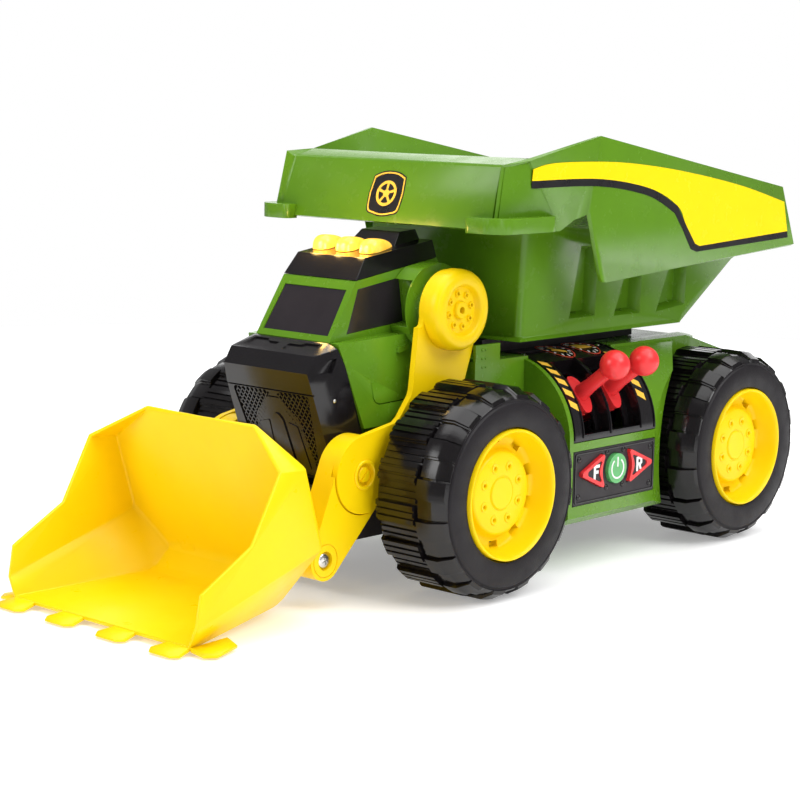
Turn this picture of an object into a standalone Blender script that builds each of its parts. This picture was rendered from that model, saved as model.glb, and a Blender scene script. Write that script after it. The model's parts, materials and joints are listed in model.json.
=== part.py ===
"""Toy dump truck with a front loader bucket: free-wheeling front wheels, a geared rear axle, a loader
boom with an elbow and a bucket, a tipping bed, two levers and three push buttons.

Sizes are millimetres in the truck's own frame, turned into metres as each piece is made: the front axle
is at y = 0, the truck faces -Y, its left side is +X and the ground is z = 0. The root empty then moves
the whole truck so that the middle of its footprint lies on the world origin."""

import math

import bmesh
import bpy
from mathutils import Matrix, Vector

MM = 0.001
GAP = 0.35  # between neighbours that touch on the real toy

# Overall layout
CENTRE_TO_FRONT_AXLE = -48.96
WHEELBASE = 240.0
WHEEL_RADIUS = 62.0
AXLE_RADIUS = 3.0
REAR_AXLE = (WHEELBASE, WHEEL_RADIUS)
FRONT_AXLE = (0.0, WHEEL_RADIUS)
TYRE_INNER_X, TYRE_OUTER_X = 62.7, 114.7
TYRE_WALL = 3.5
RIM_RADIUS = 38.4
RIM_LIP_X = 116.0
WALL = 2.5

# Joint axes, as (y, z) in the side view
SHOULDER = (9.0, 163.0)
ELBOW = (-61.5, 73.5)
CHEEK_X = 78.4
FLOOR_FRONT_Y = -208.0
BUCKET_BACK_LEAN = 0.30
TOOTH_X = (-64.5, -21.5, 21.5, 64.5)
TOOTH_POINTS = [(7.5, -203, 2.6), (7.5, -203, 4.8), (8, -210, 1.6), (8, -210, 4.4), (11.5, -217, 0.8),
                (11.5, -217, 2.6), (8, -221, 0.9), (8, -221, 2.0)]
FOOT_POINTS = [(74, -182, 3.2), (74, -182, 5.6), (84, -184, 1.6), (84, -184, 3.6), (90, -203, 1.0),
               (90, -203, 2.8), (85, -209, 0.9), (85, -209, 2.8), (74, -208, 1.8), (74, -208, 4.8)]
BUCKET_PIVOT = (-91.3, 28.2)
BED_HINGE = (232.0, 134.5)
LEVER_PIVOT = (47.0, 80.0)  # (x, z)
LEVER_Y = {"boom_lever": 105.0, "bed_lever": 135.0}
LEVER_REST_ANGLE = 38.3
LEVER_THROW = 75.3
BALL_RADIUS = 9.3

# Loader, as x ranges across the truck's left half
ARM_X = (53.2, 57.0)
LINK_X = (41.0, 56.0)
LUG_X = (30.0, 40.6)
HUB_CAP_X = (57.0 + GAP, 68.0)
LOW_CAP_X = 60.3

# Hull
HULL_X = 60.0
HULL_TOP = 130.0
POD_X = 97.0
POD_Y = (75.0, 238.0)
POD_ARC_RADIUS = 50.0
CONSOLE_Y = (79.0, 162.0)
BUTTON_PLATE_Z = (41.5, 74.7)
BUTTON_Z = 60.5
BUTTON_PROUD_X = 99.5

ROUND = 32  # steps round a wheel
SMALL_ROUND = 20  # steps round a pin or a boss


def clear_scene():
    for obj in list(bpy.data.objects):
        bpy.data.objects.remove(obj, do_unlink=True)


def new_collection(name, hidden):
    collection = bpy.data.collections.new(name)
    collection.hide_render = hidden
    bpy.context.scene.collection.children.link(collection)
    return collection


clear_scene()
PARTS = new_collection("toy_front_loader_dump_truck", hidden=False)
CUTTERS = new_collection("cutters", hidden=True)


# ---------------------------------------------------------------- materials

PAINTS = {
    "green_plastic": ((0.055, 0.215, 0.030), 0.25, 0.0),
    "yellow_plastic": ((0.95, 0.66, 0.005), 0.30, 0.0),
    "black_gloss": ((0.008, 0.008, 0.009), 0.18, 0.0),
    "charcoal_plastic": ((0.020, 0.020, 0.022), 0.45, 0.0),
    "tyre_black": ((0.006, 0.006, 0.007), 0.40, 0.0),
    "red_plastic": ((0.80, 0.025, 0.030), 0.28, 0.0),
    "button_green": ((0.060, 0.38, 0.12), 0.30, 0.0),
    "tinted_glass": ((0.012, 0.012, 0.016), 0.06, 0.0),
    "amber_lens": ((1.0, 0.55, 0.06), 0.15, 0.0),
    "steel": ((0.62, 0.62, 0.63), 0.30, 1.0),
    "white_nylon": ((0.85, 0.84, 0.80), 0.45, 0.0),
    "board_green": ((0.02, 0.16, 0.07), 0.50, 0.0),
    "battery_wrap": ((0.35, 0.16, 0.03), 0.35, 0.3),
}


def paint(name):
    if name in bpy.data.materials:
        return bpy.data.materials[name]
    colour, roughness, metallic = PAINTS[name]
    material = bpy.data.materials.new(name)
    material.use_nodes = True
    shader = material.node_tree.nodes["Principled BSDF"]
    shader.inputs["Base Color"].default_value = (*colour, 1.0)
    shader.inputs["Roughness"].default_value = roughness
    shader.inputs["Metallic"].default_value = metallic
    return material


# ---------------------------------------------------------------- pivots

PIVOT_AT = {}


def pivot(name, location, parent=None):
    """An empty on a joint's axis, in the truck's frame. The root alone is moved in the world."""
    empty = bpy.data.objects.new(name, None)
    empty.empty_display_size = 0.02
    PARTS.objects.link(empty)
    base = Vector((0, 0, 0))
    if parent:
        empty.parent = bpy.data.objects[parent]
        base = PIVOT_AT[parent]
    PIVOT_AT[name] = Vector(location) * MM
    empty.location = PIVOT_AT[name] - base
    return empty


root = pivot("truck", (0, 0, 0))
root.location = (0, CENTRE_TO_FRONT_AXLE * MM, 0)
pivot("boom_pivot", (0, *SHOULDER), "truck")
pivot("elbow_pivot", (0, *ELBOW), "boom_pivot")
pivot("bucket_pivot", (0, *BUCKET_PIVOT), "elbow_pivot")
pivot("bed_pivot", (0, *BED_HINGE), "truck")
for lever, lever_y in LEVER_Y.items():
    pivot(lever + "_pivot", (LEVER_PIVOT[0], lever_y, LEVER_PIVOT[1]), "truck")
pivot("front_axle_axis", (0, *FRONT_AXLE), "truck")
pivot("rear_axle_axis", (0, *REAR_AXLE), "truck")


# ---------------------------------------------------------------- shape tools


def as_node(obj, colour, on="truck"):
    """Files an object as a part: its material, and the empty that it moves with."""
    obj.data.materials.clear()
    obj.data.materials.append(paint(colour))
    obj.parent = bpy.data.objects[on]
    obj.matrix_parent_inverse = Matrix.Translation(-PIVOT_AT[on])
    obj.data.shade_smooth()
    obj.data.set_sharp_from_angle(angle=math.radians(28))
    return obj


def from_bmesh(name, bm):
    mesh = bpy.data.meshes.new(name)
    bmesh.ops.recalc_face_normals(bm, faces=bm.faces[:])
    if bm.calc_volume(signed=True) < 0:
        bmesh.ops.reverse_faces(bm, faces=bm.faces[:])
    bm.to_mesh(mesh)
    bm.free()
    obj = bpy.data.objects.new(name, mesh)
    PARTS.objects.link(obj)
    return obj


def arc(centre, radius, start, end, steps):
    """Points on a round stretch, in degrees from the first axis towards the second."""
    angles = [math.radians(start + (end - start) * i / steps) for i in range(steps + 1)]
    return [(centre[0] + radius * math.cos(a), centre[1] + radius * math.sin(a)) for a in angles]


def circle(centre, radius, steps=SMALL_ROUND):
    return arc(centre, radius, 0, 360, steps)[:-1]


VIEWS = {  # a flat outline's own x, y and z, as columns in the truck's frame
    "side": Matrix(((0, 0, 1), (1, 0, 0), (0, 1, 0))),  # (y, z) outline, thick along x
    "front": Matrix(((1, 0, 0), (0, 0, -1), (0, 1, 0))),  # (x, z) outline, thick along -y
    "top": Matrix(((1, 0, 0), (0, 1, 0), (0, 0, 1))),  # (x, y) outline, thick along z
}


def plate(name, outline, low, high, view="side", holes=()):
    """A flat outline given a thickness from low to high, across the plane of the view."""
    curve = bpy.data.curves.new(name, "CURVE")
    curve.dimensions = "2D"
    curve.fill_mode = "BOTH"
    curve.extrude = (high - low) / 2 * MM
    for loop in (outline, *holes):
        spline = curve.splines.new("POLY")
        spline.points.add(len(loop) - 1)
        for point, (u, v) in zip(spline.points, loop):
            point.co = (u * MM, v * MM, 0, 1)
        spline.use_cyclic_u = True
    flat = bpy.data.objects.new(name + "_outline", curve)
    PARTS.objects.link(flat)
    middle = (low + high) / 2 * MM * (-1 if view == "front" else 1)
    matrix = VIEWS[view].to_4x4() @ Matrix.Translation((0, 0, middle))
    bpy.context.view_layer.update()
    graph = bpy.context.evaluated_depsgraph_get()
    mesh = bpy.data.meshes.new_from_object(flat.evaluated_get(graph))
    bpy.data.objects.remove(flat, do_unlink=True)
    bm = bmesh.new()
    bm.from_mesh(mesh)
    bpy.data.meshes.remove(mesh)
    bmesh.ops.remove_doubles(bm, verts=bm.verts[:], dist=1e-6)
    bm.transform(matrix)
    return from_bmesh(name, bm)


def box(name, x, y, z):
    bm = bmesh.new()
    bmesh.ops.create_cube(bm, size=1)
    for vert in bm.verts:
        for axis, (low, high) in enumerate((x, y, z)):
            vert.co[axis] = (low + high + 2 * vert.co[axis] * (high - low)) / 2 * MM
    return from_bmesh(name, bm)


def turned(name, profile, centre, side=1, along="x", steps=ROUND):
    """A profile of (radius, distance along the axis) turned about an axis through centre.

    centre is the pair of coordinates across the axis. side -1 points the axis the other way."""
    if profile[0][0] > 0:
        profile = [*profile, profile[0]]
    turn = sum(a[0] * b[1] - b[0] * a[1] for a, b in zip(profile, [*profile[1:], profile[0]]))
    if turn > 0:
        profile = profile[::-1]
    mesh = bpy.data.meshes.new(name)
    verts = [(r * MM, 0, h * MM) for r, h in profile]
    edges = [(i, i + 1) for i in range(len(verts) - 1)]
    mesh.from_pydata(verts, edges, [])
    obj = bpy.data.objects.new(name, mesh)
    PARTS.objects.link(obj)
    screw = obj.modifiers.new("turn", "SCREW")
    screw.axis = "Z"
    screw.steps = screw.render_steps = steps
    screw.use_merge_vertices = True
    screw.merge_threshold = 1e-5
    across = Vector((0, centre[0], centre[1])) if along == "x" else Vector((centre[0], 0, centre[1]))
    spin = Matrix.Rotation(math.radians(90 * side), 4, "Y")
    if along == "y":
        spin = Matrix.Rotation(math.radians(-90 * side), 4, "X")
    bpy.context.view_layer.update()
    graph = bpy.context.evaluated_depsgraph_get()
    made = bpy.data.meshes.new_from_object(obj.evaluated_get(graph))
    bm = bmesh.new()
    bm.from_mesh(made)
    bpy.data.meshes.remove(made)
    bpy.data.objects.remove(obj, do_unlink=True)
    bmesh.ops.remove_doubles(bm, verts=bm.verts[:], dist=1e-6)
    bm.transform(Matrix.Translation(across * MM) @ spin)
    return from_bmesh(name, bm)


def rod(name, radius, low, high, centre, along="x", steps=SMALL_ROUND):
    return turned(name, [(0, high), (radius, high), (radius, low), (0, low)], centre, 1, along, steps)


def hull_of(name, points):
    """The solid that wraps the points: a casting with flat facets."""
    bm = bmesh.new()
    for point in points:
        bm.verts.new(Vector(point) * MM)
    result = bmesh.ops.convex_hull(bm, input=bm.verts[:])
    loose = [v for v in result["geom_interior"] if isinstance(v, bmesh.types.BMVert)]
    bmesh.ops.delete(bm, geom=loose, context="VERTS")
    return from_bmesh(name, bm)


def both_sides(points):
    return [(side * x, y, z) for side in (1, -1) for x, y, z in points]


def slab(name, corners, above, below):
    """A flat panel through the corners, from above its plane to below it, in millimetres."""
    points = [Vector(p) for p in corners]
    normal = (points[1] - points[0]).cross(points[2] - points[0]).normalized()
    return hull_of(name, [tuple(p + normal * h) for p in points for h in (above, -below)])


def shell(name, points, faces, thickness, mirrored=True):
    """An open surface of flat facets, thickened to its inner side. Mirrored about the middle plane."""
    bm = bmesh.new()
    verts = {key: bm.verts.new(Vector(place) * MM) for key, place in points.items()}
    for face in faces:
        bm.faces.new([verts[key] for key in face])
    mesh = bpy.data.meshes.new(name)
    bm.to_mesh(mesh)
    bm.free()
    obj = bpy.data.objects.new(name, mesh)
    PARTS.objects.link(obj)
    if mirrored:
        mirror = obj.modifiers.new("other_side", "MIRROR")
        mirror.use_clip = True
        mirror.merge_threshold = 1e-5
    solid = obj.modifiers.new("wall", "SOLIDIFY")
    solid.solidify_mode = "NON_MANIFOLD"
    solid.nonmanifold_thickness_mode = "CONSTRAINTS"
    solid.thickness = thickness * MM
    solid.offset = 0
    return obj


def follow(helper, target):
    """A helper and its own helpers take the parent of the piece that they shape."""
    helper.parent = target.parent
    helper.matrix_parent_inverse = target.matrix_parent_inverse.copy()
    for change in helper.modifiers:
        if change.type == "BOOLEAN":
            follow(change.object, target)


def combine(target, operation, *others):
    for other in others:
        change = target.modifiers.new(operation.lower(), "BOOLEAN")
        change.operation = operation
        change.object = other
        if other.name in PARTS.objects:
            PARTS.objects.unlink(other)
            CUTTERS.objects.link(other)
        other.hide_render = True
        other.display_type = "WIRE"
        follow(other, target)
    return target


def cut(target, *others):
    return combine(target, "DIFFERENCE", *others)


def join(target, *others):
    return combine(target, "UNION", *others)


SIDES = (("left", 1), ("right", -1))


def sides(x_range):
    """The left and the right copy of a range across the truck, each with its name and its sign."""
    low, high = x_range
    return (("left", 1, low, high), ("right", -1, -high, -low))


# ---------------------------------------------------------------- wheels


def wheels():
    hollow_top = WHEEL_RADIUS - TYRE_WALL
    tyre = [
        (WHEEL_RADIUS, 67), (WHEEL_RADIUS, 103), (57.5, TYRE_OUTER_X - 1.5), (54, TYRE_OUTER_X),
        (RIM_RADIUS, TYRE_OUTER_X), (RIM_RADIUS, TYRE_OUTER_X - TYRE_WALL),
        (53, TYRE_OUTER_X - TYRE_WALL), (hollow_top, 101), (hollow_top, TYRE_INNER_X + 5),
        (54, TYRE_INNER_X + TYRE_WALL), (RIM_RADIUS, TYRE_INNER_X + TYRE_WALL),
        (RIM_RADIUS, TYRE_INNER_X), (54, TYRE_INNER_X), (58.5, 63.8),
    ]
    lip = RIM_RADIUS - GAP
    rim = [
        (0, 108), (9.5, 108), (9.5, 106), (24.4, 106), (24.8, 101), (31, 100.5), (35.8, 114),
        (36.2, RIM_LIP_X), (lip, RIM_LIP_X), (lip, 64), (35.4, 64), (35.4, 92), (29, 98), (8, 98),
        (8, 64), (AXLE_RADIUS + GAP, 64), (AXLE_RADIUS + GAP, 99), (0, 99),
    ]
    for end, centre in (("front", FRONT_AXLE), ("rear", REAR_AXLE)):
        axis = end + "_axle_axis"
        for name, side in SIDES:
            as_node(turned(f"{end}_tyre_{name}", tyre, centre, side), "tyre_black", axis)
            as_node(turned(f"{end}_rim_{name}", rim, centre, side, steps=24), "yellow_plastic", axis)
    for end, centre in (("front", FRONT_AXLE), ("rear", REAR_AXLE)):
        shaft = rod(end + "_axle", AXLE_RADIUS, -98.5, 98.5, centre)
        as_node(shaft, "steel", "truck" if end == "front" else "rear_axle_axis")


# ---------------------------------------------------------------- gear train

MODULE = 1.0
AXLE_TEETH, IDLER_SMALL_TEETH, IDLER_LARGE_TEETH, PINION_TEETH = 30, 10, 24, 8
IDLER = (REAR_AXLE[0] - (AXLE_TEETH + IDLER_SMALL_TEETH) * MODULE / 2, REAR_AXLE[1])
MOTOR = (IDLER[0] - (IDLER_LARGE_TEETH + PINION_TEETH) * MODULE / 2, REAR_AXLE[1])
SLOW_GEARS_X, FAST_GEARS_X = (4.0, 8.0), (9.0, 13.0)
BOX_WALLS_X = ((-1.0, 1.5), (14.6, 17.1))


def gear_outline(centre, teeth, turned_by):
    """Straight-flanked teeth with a little backlash. turned_by is in tooth pitches."""
    pitch = 360 / teeth
    radius = teeth * MODULE / 2
    points = []
    for tooth in range(teeth):
        middle = (tooth + turned_by) * pitch
        foot, tip = radius - 1.1, radius + 0.75
        for shift, r in ((-0.27, foot), (-0.11, tip), (0.11, tip), (0.27, foot)):
            points += arc(centre, r, middle + shift * pitch, middle + shift * pitch, 1)[:1]
    return points


def gear_train():
    pivot("idler_axis", (0, *IDLER), "truck")
    pivot("motor_axis", (0, *MOTOR), "truck")
    bore = circle(REAR_AXLE, AXLE_RADIUS + GAP)
    axle_gear = plate("axle_gear", gear_outline(REAR_AXLE, AXLE_TEETH, 0.5), *SLOW_GEARS_X, holes=[bore])
    as_node(axle_gear, "white_nylon", "rear_axle_axis")
    pin_hole = circle(IDLER, 1.5 + GAP, 12)
    idler = plate("idler_gear", gear_outline(IDLER, IDLER_LARGE_TEETH, 0), *FAST_GEARS_X, holes=[pin_hole])
    small_outline = gear_outline(IDLER, IDLER_SMALL_TEETH, 0)
    small = plate("idler_small", small_outline, SLOW_GEARS_X[0], 9.5, holes=[pin_hole])
    join(as_node(idler, "white_nylon", "idler_axis"), small)
    as_node(rod("idler_shaft", 1.5, -0.8, 16.8, IDLER, steps=12), "steel")
    pinion = plate("motor_pinion", gear_outline(MOTOR, PINION_TEETH, 0.5), *FAST_GEARS_X)
    join(as_node(pinion, "white_nylon", "motor_axis"), rod("pinion_shaft", 1.0, 12, 17.2, MOTOR, steps=12))
    motor = rod("drive_motor", 10.0, 17.6, 42, MOTOR)
    as_node(motor, "steel")
    outline = [(192, 44), (192, 78), (200, 84), (252, 84), (258, 78), (258, 44)]
    holes = [circle(REAR_AXLE, AXLE_RADIUS + 0.6), circle(IDLER, 1.5 + GAP, 12), circle(MOTOR, 1.8, 12)]
    housing = plate("gearbox_housing", outline, *BOX_WALLS_X[0], holes=holes[:2])
    other = plate("gearbox_wall", outline, *BOX_WALLS_X[1], holes=holes)
    across = (BOX_WALLS_X[0][0] + 0.4, BOX_WALLS_X[1][1] - 0.4)
    lid = box("gearbox_lid", across, (200.5, 251.5), (80.8, 83.4))
    back = box("gearbox_end", across, (192.4, 194.6), (44.5, 77.5))
    join(as_node(housing, "charcoal_plastic"), other, lid, back)


# ---------------------------------------------------------------- chassis and hull


def chassis_pan():
    """The black underside: a narrow tray under the cab, and a floor for the battery and the gearbox."""
    front_x = 38.5
    pan = box("chassis_pan", (-front_x, front_x), (-66, 27), (31, 62.5))
    cut(as_node(pan, "charcoal_plastic"), box("tray_inside", (-36, 36), (-63.5, 24.5), (33.5, 70)))
    for name, _, low, high in sides((36.0, front_x)):
        outline = [(-22, 61), (-12, 71), (12, 71), (22, 61)]
        join(pan, plate("axle_cheek_" + name, outline, low + 0.1, high - 0.1))
    cut(pan, rod("front_axle_bore", AXLE_RADIUS + GAP, -45, 45, FRONT_AXLE))
    floor = box("pan_floor", (-57, 57), (26, 289), (31, 33.6))
    join(pan, floor)
    for name, _, low, high in sides((42.5, 45.0)):
        join(pan, box("pan_rail_" + name, (low, high), (32.5, 286), (33, 56)))
    join(pan, box("pan_tail", (-44, 44), (284, 286.5), (33, 56)))
    cut(pan, box("battery_hatch", (-27, 27), (102, 160), (29, 36)))


def pod_outline(inset):
    """The pod's cross-section in the front view: flat side, chamfered foot and a quarter-round top."""
    x = POD_X - inset
    low = 28 + inset
    inner = 56 if inset == 0 else 50
    quarter = arc(LEVER_PIVOT, POD_ARC_RADIUS - inset, 0, 90, 12)
    chamfer = [(88 - inset / 2, low), (x, 34 + inset / 2)]
    return [(inner, low), *chamfer, *quarter, (inner - 10, quarter[-1][1])]


def hull_shell():
    outline = [(29, 34.5), (29, HULL_TOP), (246, HULL_TOP), (290, 117), (292, 62), (288, 34.5)]
    inside = [(29 + WALL, 20), (29 + WALL, HULL_TOP - WALL), (245.5, HULL_TOP - WALL), (287.6, 115),
              (289.4, 62), (285.6, 20)]
    hull = plate("hull_shell", outline, -HULL_X, HULL_X)
    as_node(hull, "green_plastic")
    for name, side, low, high in sides((HULL_X + 0.3, 120)):
        pod = plate("pod_" + name, [(side * x, z) for x, z in pod_outline(0)], *POD_Y, view="front")
        cut(pod, rod("wheel_arch_" + name, 70.5, low, high, REAR_AXLE, steps=ROUND))
        join(hull, pod)
    cut(hull, plate("hull_inside", inside, -HULL_X + WALL, HULL_X - WALL))
    for name, side, low, high in sides((HULL_X - WALL, 125)):
        room = plate("pod_room_" + name, [(side * x, z) for x, z in pod_outline(WALL)],
                     POD_Y[0] + WALL, POD_Y[1] - WALL, view="front")
        cut(room, rod("arch_room_" + name, 70.5 + WALL, low, high, REAR_AXLE, steps=ROUND))
        cut(hull, room)
    y_low, y_high = CONSOLE_Y
    cut(hull, box("console_opening", (47.6, 110), (y_low - GAP, y_high + GAP), (80.2, 140)))
    z_low, z_high = BUTTON_PLATE_Z
    cut(hull, box("button_opening", (80, 110), (y_low - GAP, y_high + GAP), (z_low - GAP, z_high + GAP)))
    cut(hull, rod("rear_axle_bore", AXLE_RADIUS + 0.8, -70, 70, REAR_AXLE))
    for name, _, low, high in sides((15.0, 19.0)):
        ear = [*arc(BED_HINGE, 4.0, -20, 200, 10), (225, HULL_TOP - 1), (239, HULL_TOP - 1)]
        join(hull, plate("hinge_ear_" + name, ear, low, high, holes=[circle(BED_HINGE, 2.0 + GAP, 12)]))
    for name, _, low, high in sides((57.4, HULL_X)):
        column = [(29.5, 128), (29.5, 140), (52, 140), (52, 128)]
        join(hull, plate("rivet_column_" + name, column, low + 0.2, high - 0.2))


def deck_plate():
    """The black ledge that the bed rests over."""
    deck = box("deck_plate", (-37, 37), (62, 216), (HULL_TOP + GAP, 138.5))
    room = box("deck_room", (-34.5, 34.5), (64.5, 213.5), (120, 136))
    cut(as_node(deck, "charcoal_plastic"), room)
    as_node(rod("bed_hinge_pin", 2.0, -18.8, 18.8, BED_HINGE, steps=12), "steel")


# ---------------------------------------------------------------- cab and nose

ROOF_SLOPE = (190.6 - 180.0) / (24.0 + 42.4)
NOSE_LEAN = 21.0 / 53.0


def seam_y(z):
    """Where the nose meets the cab, leaning back as it goes down."""
    return -65.0 + NOSE_LEAN * (146.0 - z)


def cab():
    upper = [(29.5, -42.4, 180), (30, -64.2, 146.2), (32, 24, 190.6), (32, 27, 150), (31, 27, 188)]
    lower = [(37, seam_y(146) + 1, 146), (39, seam_y(134), 134), (40.5, seam_y(96), 96), (43, -29, 97),
             (44, -11, 110.7), (42, -8.5, 149), (40, 27, 149), (40, 27, 104)]
    body = hull_of("cab_shell", both_sides(upper))
    as_node(body, "green_plastic")
    join(body, hull_of("cab_lower", both_sides(lower)))
    boss = [(0, 52.8), (17.0, 52.8), (17.0, 46.0), (26.3, 46.0), (26.3, 31.6), (0, 31.6)]
    for name, side in SIDES:
        join(body, turned("shoulder_boss_" + name, boss, SHOULDER, side, steps=32))
    inner_upper = [(26.8, -27, 200), (27.2, -59.5, 149.6), (27.2, -59.5, 140), (29, 22, 210), (29, 24, 140)]
    inner_lower = [(34, seam_y(144) + 5, 144), (36.5, seam_y(134) + 4, 134), (37.5, seam_y(80) + 4, 80),
                   (40, -29, 80), (40.5, -13, 110), (39, -11, 146), (37, 24, 146), (37, 24, 80)]
    cut(body, hull_of("cab_inside", both_sides(inner_upper)),
        hull_of("lower_inside", both_sides(inner_lower)))
    over_roof = [(60, -60, 177.4), (60, 40, 193.4), (60, -60, 230), (60, 40, 230)]
    cut(body, hull_of("roof_clearance", both_sides(over_roof)))
    cut(body, rod("shoulder_bore", 4.0 + GAP, -60, 60, SHOULDER))
    front = [(25.2, -45.7, 175), (-25.2, -45.7, 175), (-26.6, -62, 149.6), (26.6, -62, 149.6)]
    cut(body, slab("windshield_opening", front, 8, 12))
    mid_y, mid_z = -53.85, 162.3
    glass = [(x * 0.985, mid_y + (y - mid_y) * 0.975 + 1.35, mid_z + (z - mid_z) * 0.975 - 0.87)
             for x, y, z in front]
    as_node(slab("windshield", glass, 0.8, 0.8), "tinted_glass")
    for name, side in SIDES:
        pane = [(-41, 175.4), (-7, 180.6), (-2.5, 154.4), (-50.5, 150)]
        opening = plate("window_opening_" + name, pane, *sorted((side * 20, side * 45)))
        cut(body, opening)
        mid_y, mid_z = -25, 165
        small = [(mid_y + (y - mid_y) * 0.975, mid_z + (z - mid_z) * 0.965) for y, z in pane]
        as_node(plate("window_" + name, small, *sorted((side * 28.6, side * 30.2))), "tinted_glass")


def cab_roof():
    slope_lift = GAP + 0.1
    outer = [(29.5, -42.4, 180 + slope_lift), (32, 24, 190.6 + slope_lift), (27.4, -33.1, 192.8),
             (28.5, 24, 201)]
    roof = hull_of("cab_roof", both_sides(outer))
    as_node(roof, "black_gloss")
    hump = [(19, 0.5, 196.6), (19, 24, 199), (15.5, 9, 205.6), (15.5, 23, 206.6)]
    join(roof, hull_of("roof_hump", both_sides(hump)))
    inner = [(26.6, -37.8, 178), (29, 21.4, 186), (24.8, -30.5, 190.2), (25.5, 21.4, 198)]
    cut(roof, hull_of("roof_room", both_sides(inner)))


def beacons():
    """Three drop-shaped lamps along the roof's front edge, each cut flat where it meets the roof."""
    roof_slope = (201 - 192.8) / (24 + 33.1)
    for name, x in (("left", 18.2), ("centre", 0.0), ("right", -18.2)):
        bm = bmesh.new()
        bmesh.ops.create_uvsphere(bm, u_segments=16, v_segments=8, radius=1)
        for vert in bm.verts:
            back = 17.5 if vert.co.y > 0 else 7
            vert.co = Vector((x + vert.co.x * 6.6, -18 + vert.co.y * back, 194.6 + vert.co.z * 8.4)) * MM
        normal = Vector((0, roof_slope, -1)).normalized()
        seat = Vector((0, -33.1, 192.8 + GAP)) * MM
        geom = bm.verts[:] + bm.edges[:] + bm.faces[:]
        bmesh.ops.bisect_plane(bm, geom=geom, plane_co=seat, plane_no=normal, clear_outer=True)
        bmesh.ops.holes_fill(bm, edges=[e for e in bm.edges if e.is_boundary])
        as_node(from_bmesh("beacon_lens_" + name, bm), "amber_lens")


def nose():
    outer = [(30, seam_y(146) - GAP, 146), (37, seam_y(144) - GAP, 143.5), (39.3, seam_y(134) - GAP, 134),
             (33.9, -80.4, 140), (34.2, -85.8, 130.5), (35.2, -82.6, 119.8), (39.3, -73.5, 128.3),
             (36, -63, 66), (39, -51.4, 66), (37.5, seam_y(66) - GAP, 66)]
    grille = hull_of("nose_grille", both_sides(outer))
    as_node(grille, "black_gloss")
    inner = [(28, -58, 143.2), (34, -56, 136), (36.6, -54, 128), (31.4, -77.6, 137.4),
             (31.8, -82.8, 130), (32.4, -79.6, 119.6), (36.6, -71, 126), (33.4, -60.4, 68.5),
             (36.2, -50.6, 68.5), (34, -30, 68.5), (28, -50, 143.2), (36.6, -40, 128)]
    cut(grille, hull_of("nose_room", both_sides(inner)))


# ---------------------------------------------------------------- console, levers and buttons


def console():
    y_low, y_high = CONSOLE_Y
    outer = arc(LEVER_PIVOT, POD_ARC_RADIUS, 0.9, 88.5, 16)
    inner = arc(LEVER_PIVOT, POD_ARC_RADIUS - WALL, 88.5, 0.9, 16)
    panel = plate("lever_console", outer + inner, y_low, y_high, view="front")
    as_node(panel, "black_gloss")
    slot = arc(LEVER_PIVOT, 55, 4, 66, 8) + arc(LEVER_PIVOT, 42, 66, 4, 8)
    for lever, y in LEVER_Y.items():
        cut(panel, plate("slot_" + lever, slot, y - 5.2, y + 5.2, view="front"))
    shaft_low, shaft_high = 88.0, 152.0
    as_node(rod("lever_shaft", 2.5, shaft_low, shaft_high, LEVER_PIVOT, along="y", steps=16), "steel")
    cheek = [(36, 60), (58, 60), (58, 74), *arc(LEVER_PIVOT, 8, -20, 200, 10), (36, 74)]
    hole = circle(LEVER_PIVOT, 2.5 + GAP, 16)
    bracket = plate("lever_bracket", cheek, 89, 92, view="front", holes=[hole])
    as_node(bracket, "charcoal_plastic")
    for place, y in (("middle", 118.5), ("rear", 148)):
        join(bracket, plate("bracket_" + place, cheek, y, y + 3, view="front", holes=[hole]))
    join(bracket, box("bracket_foot", (36.4, 57.6), (89.3, 150.7), (60.3, 63)))


def levers():
    for lever, y in LEVER_Y.items():
        low, high = LEVER_REST_ANGLE - 18, LEVER_REST_ANGLE + 18
        sector = arc(LEVER_PIVOT, 46.6, low, high, 8) + arc(LEVER_PIVOT, 5.5, high + 25, low + 335, 12)
        hole = circle(LEVER_PIVOT, 2.5 + GAP, 16)
        piece = plate(lever, sector, y - 4.2, y + 4.2, view="front", holes=[hole])
        as_node(piece, "red_plastic", lever + "_pivot")
        aim = Matrix.Translation(Vector((LEVER_PIVOT[0], y, LEVER_PIVOT[1])) * MM)
        aim = aim @ Matrix.Rotation(math.radians(90 - LEVER_REST_ANGLE), 4, "Y")
        ball = arc((0, LEVER_THROW), BALL_RADIUS, 90, -60, 10)
        knob = [*ball, (4.2, LEVER_THROW - 9.5), (4.2, 38), (0, 38)]
        stick = turned(lever + "_stick", knob, (0, 0), 1, "x", 16)
        stick.data.transform(aim @ Matrix.Rotation(math.radians(-90), 4, "Y"))
        join(piece, stick)


def triangle(tip_y, base_y, half_height, inset):
    """A rounded triangle pointing at tip_y, as (y, z), with a hollow base that follows the round button."""
    direction = 1 if tip_y > base_y else -1
    tip = tip_y - direction * inset * 1.9
    base = base_y + direction * inset
    half = half_height - inset * 1.35
    belly = [(base + direction * 2.2 * math.cos(math.pi * t / 6), BUTTON_Z + half * 0.8 * t / 3)
             for t in range(-3, 4)]
    corners = [(base, BUTTON_Z + half), (tip, BUTTON_Z + 1.2), (tip, BUTTON_Z - 1.2),
               (base, BUTTON_Z - half)]
    return belly + corners


BUTTONS = {
    "forward_button": ("red_plastic", lambda inset: triangle(84.6, 108.0, 11.5, inset)),
    "power_button": ("button_green", lambda inset: circle((120.5, BUTTON_Z), 9.8 - inset, 24)),
    "reverse_button": ("red_plastic", lambda inset: triangle(157.3, 132.8, 11.5, inset)),
}


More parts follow.
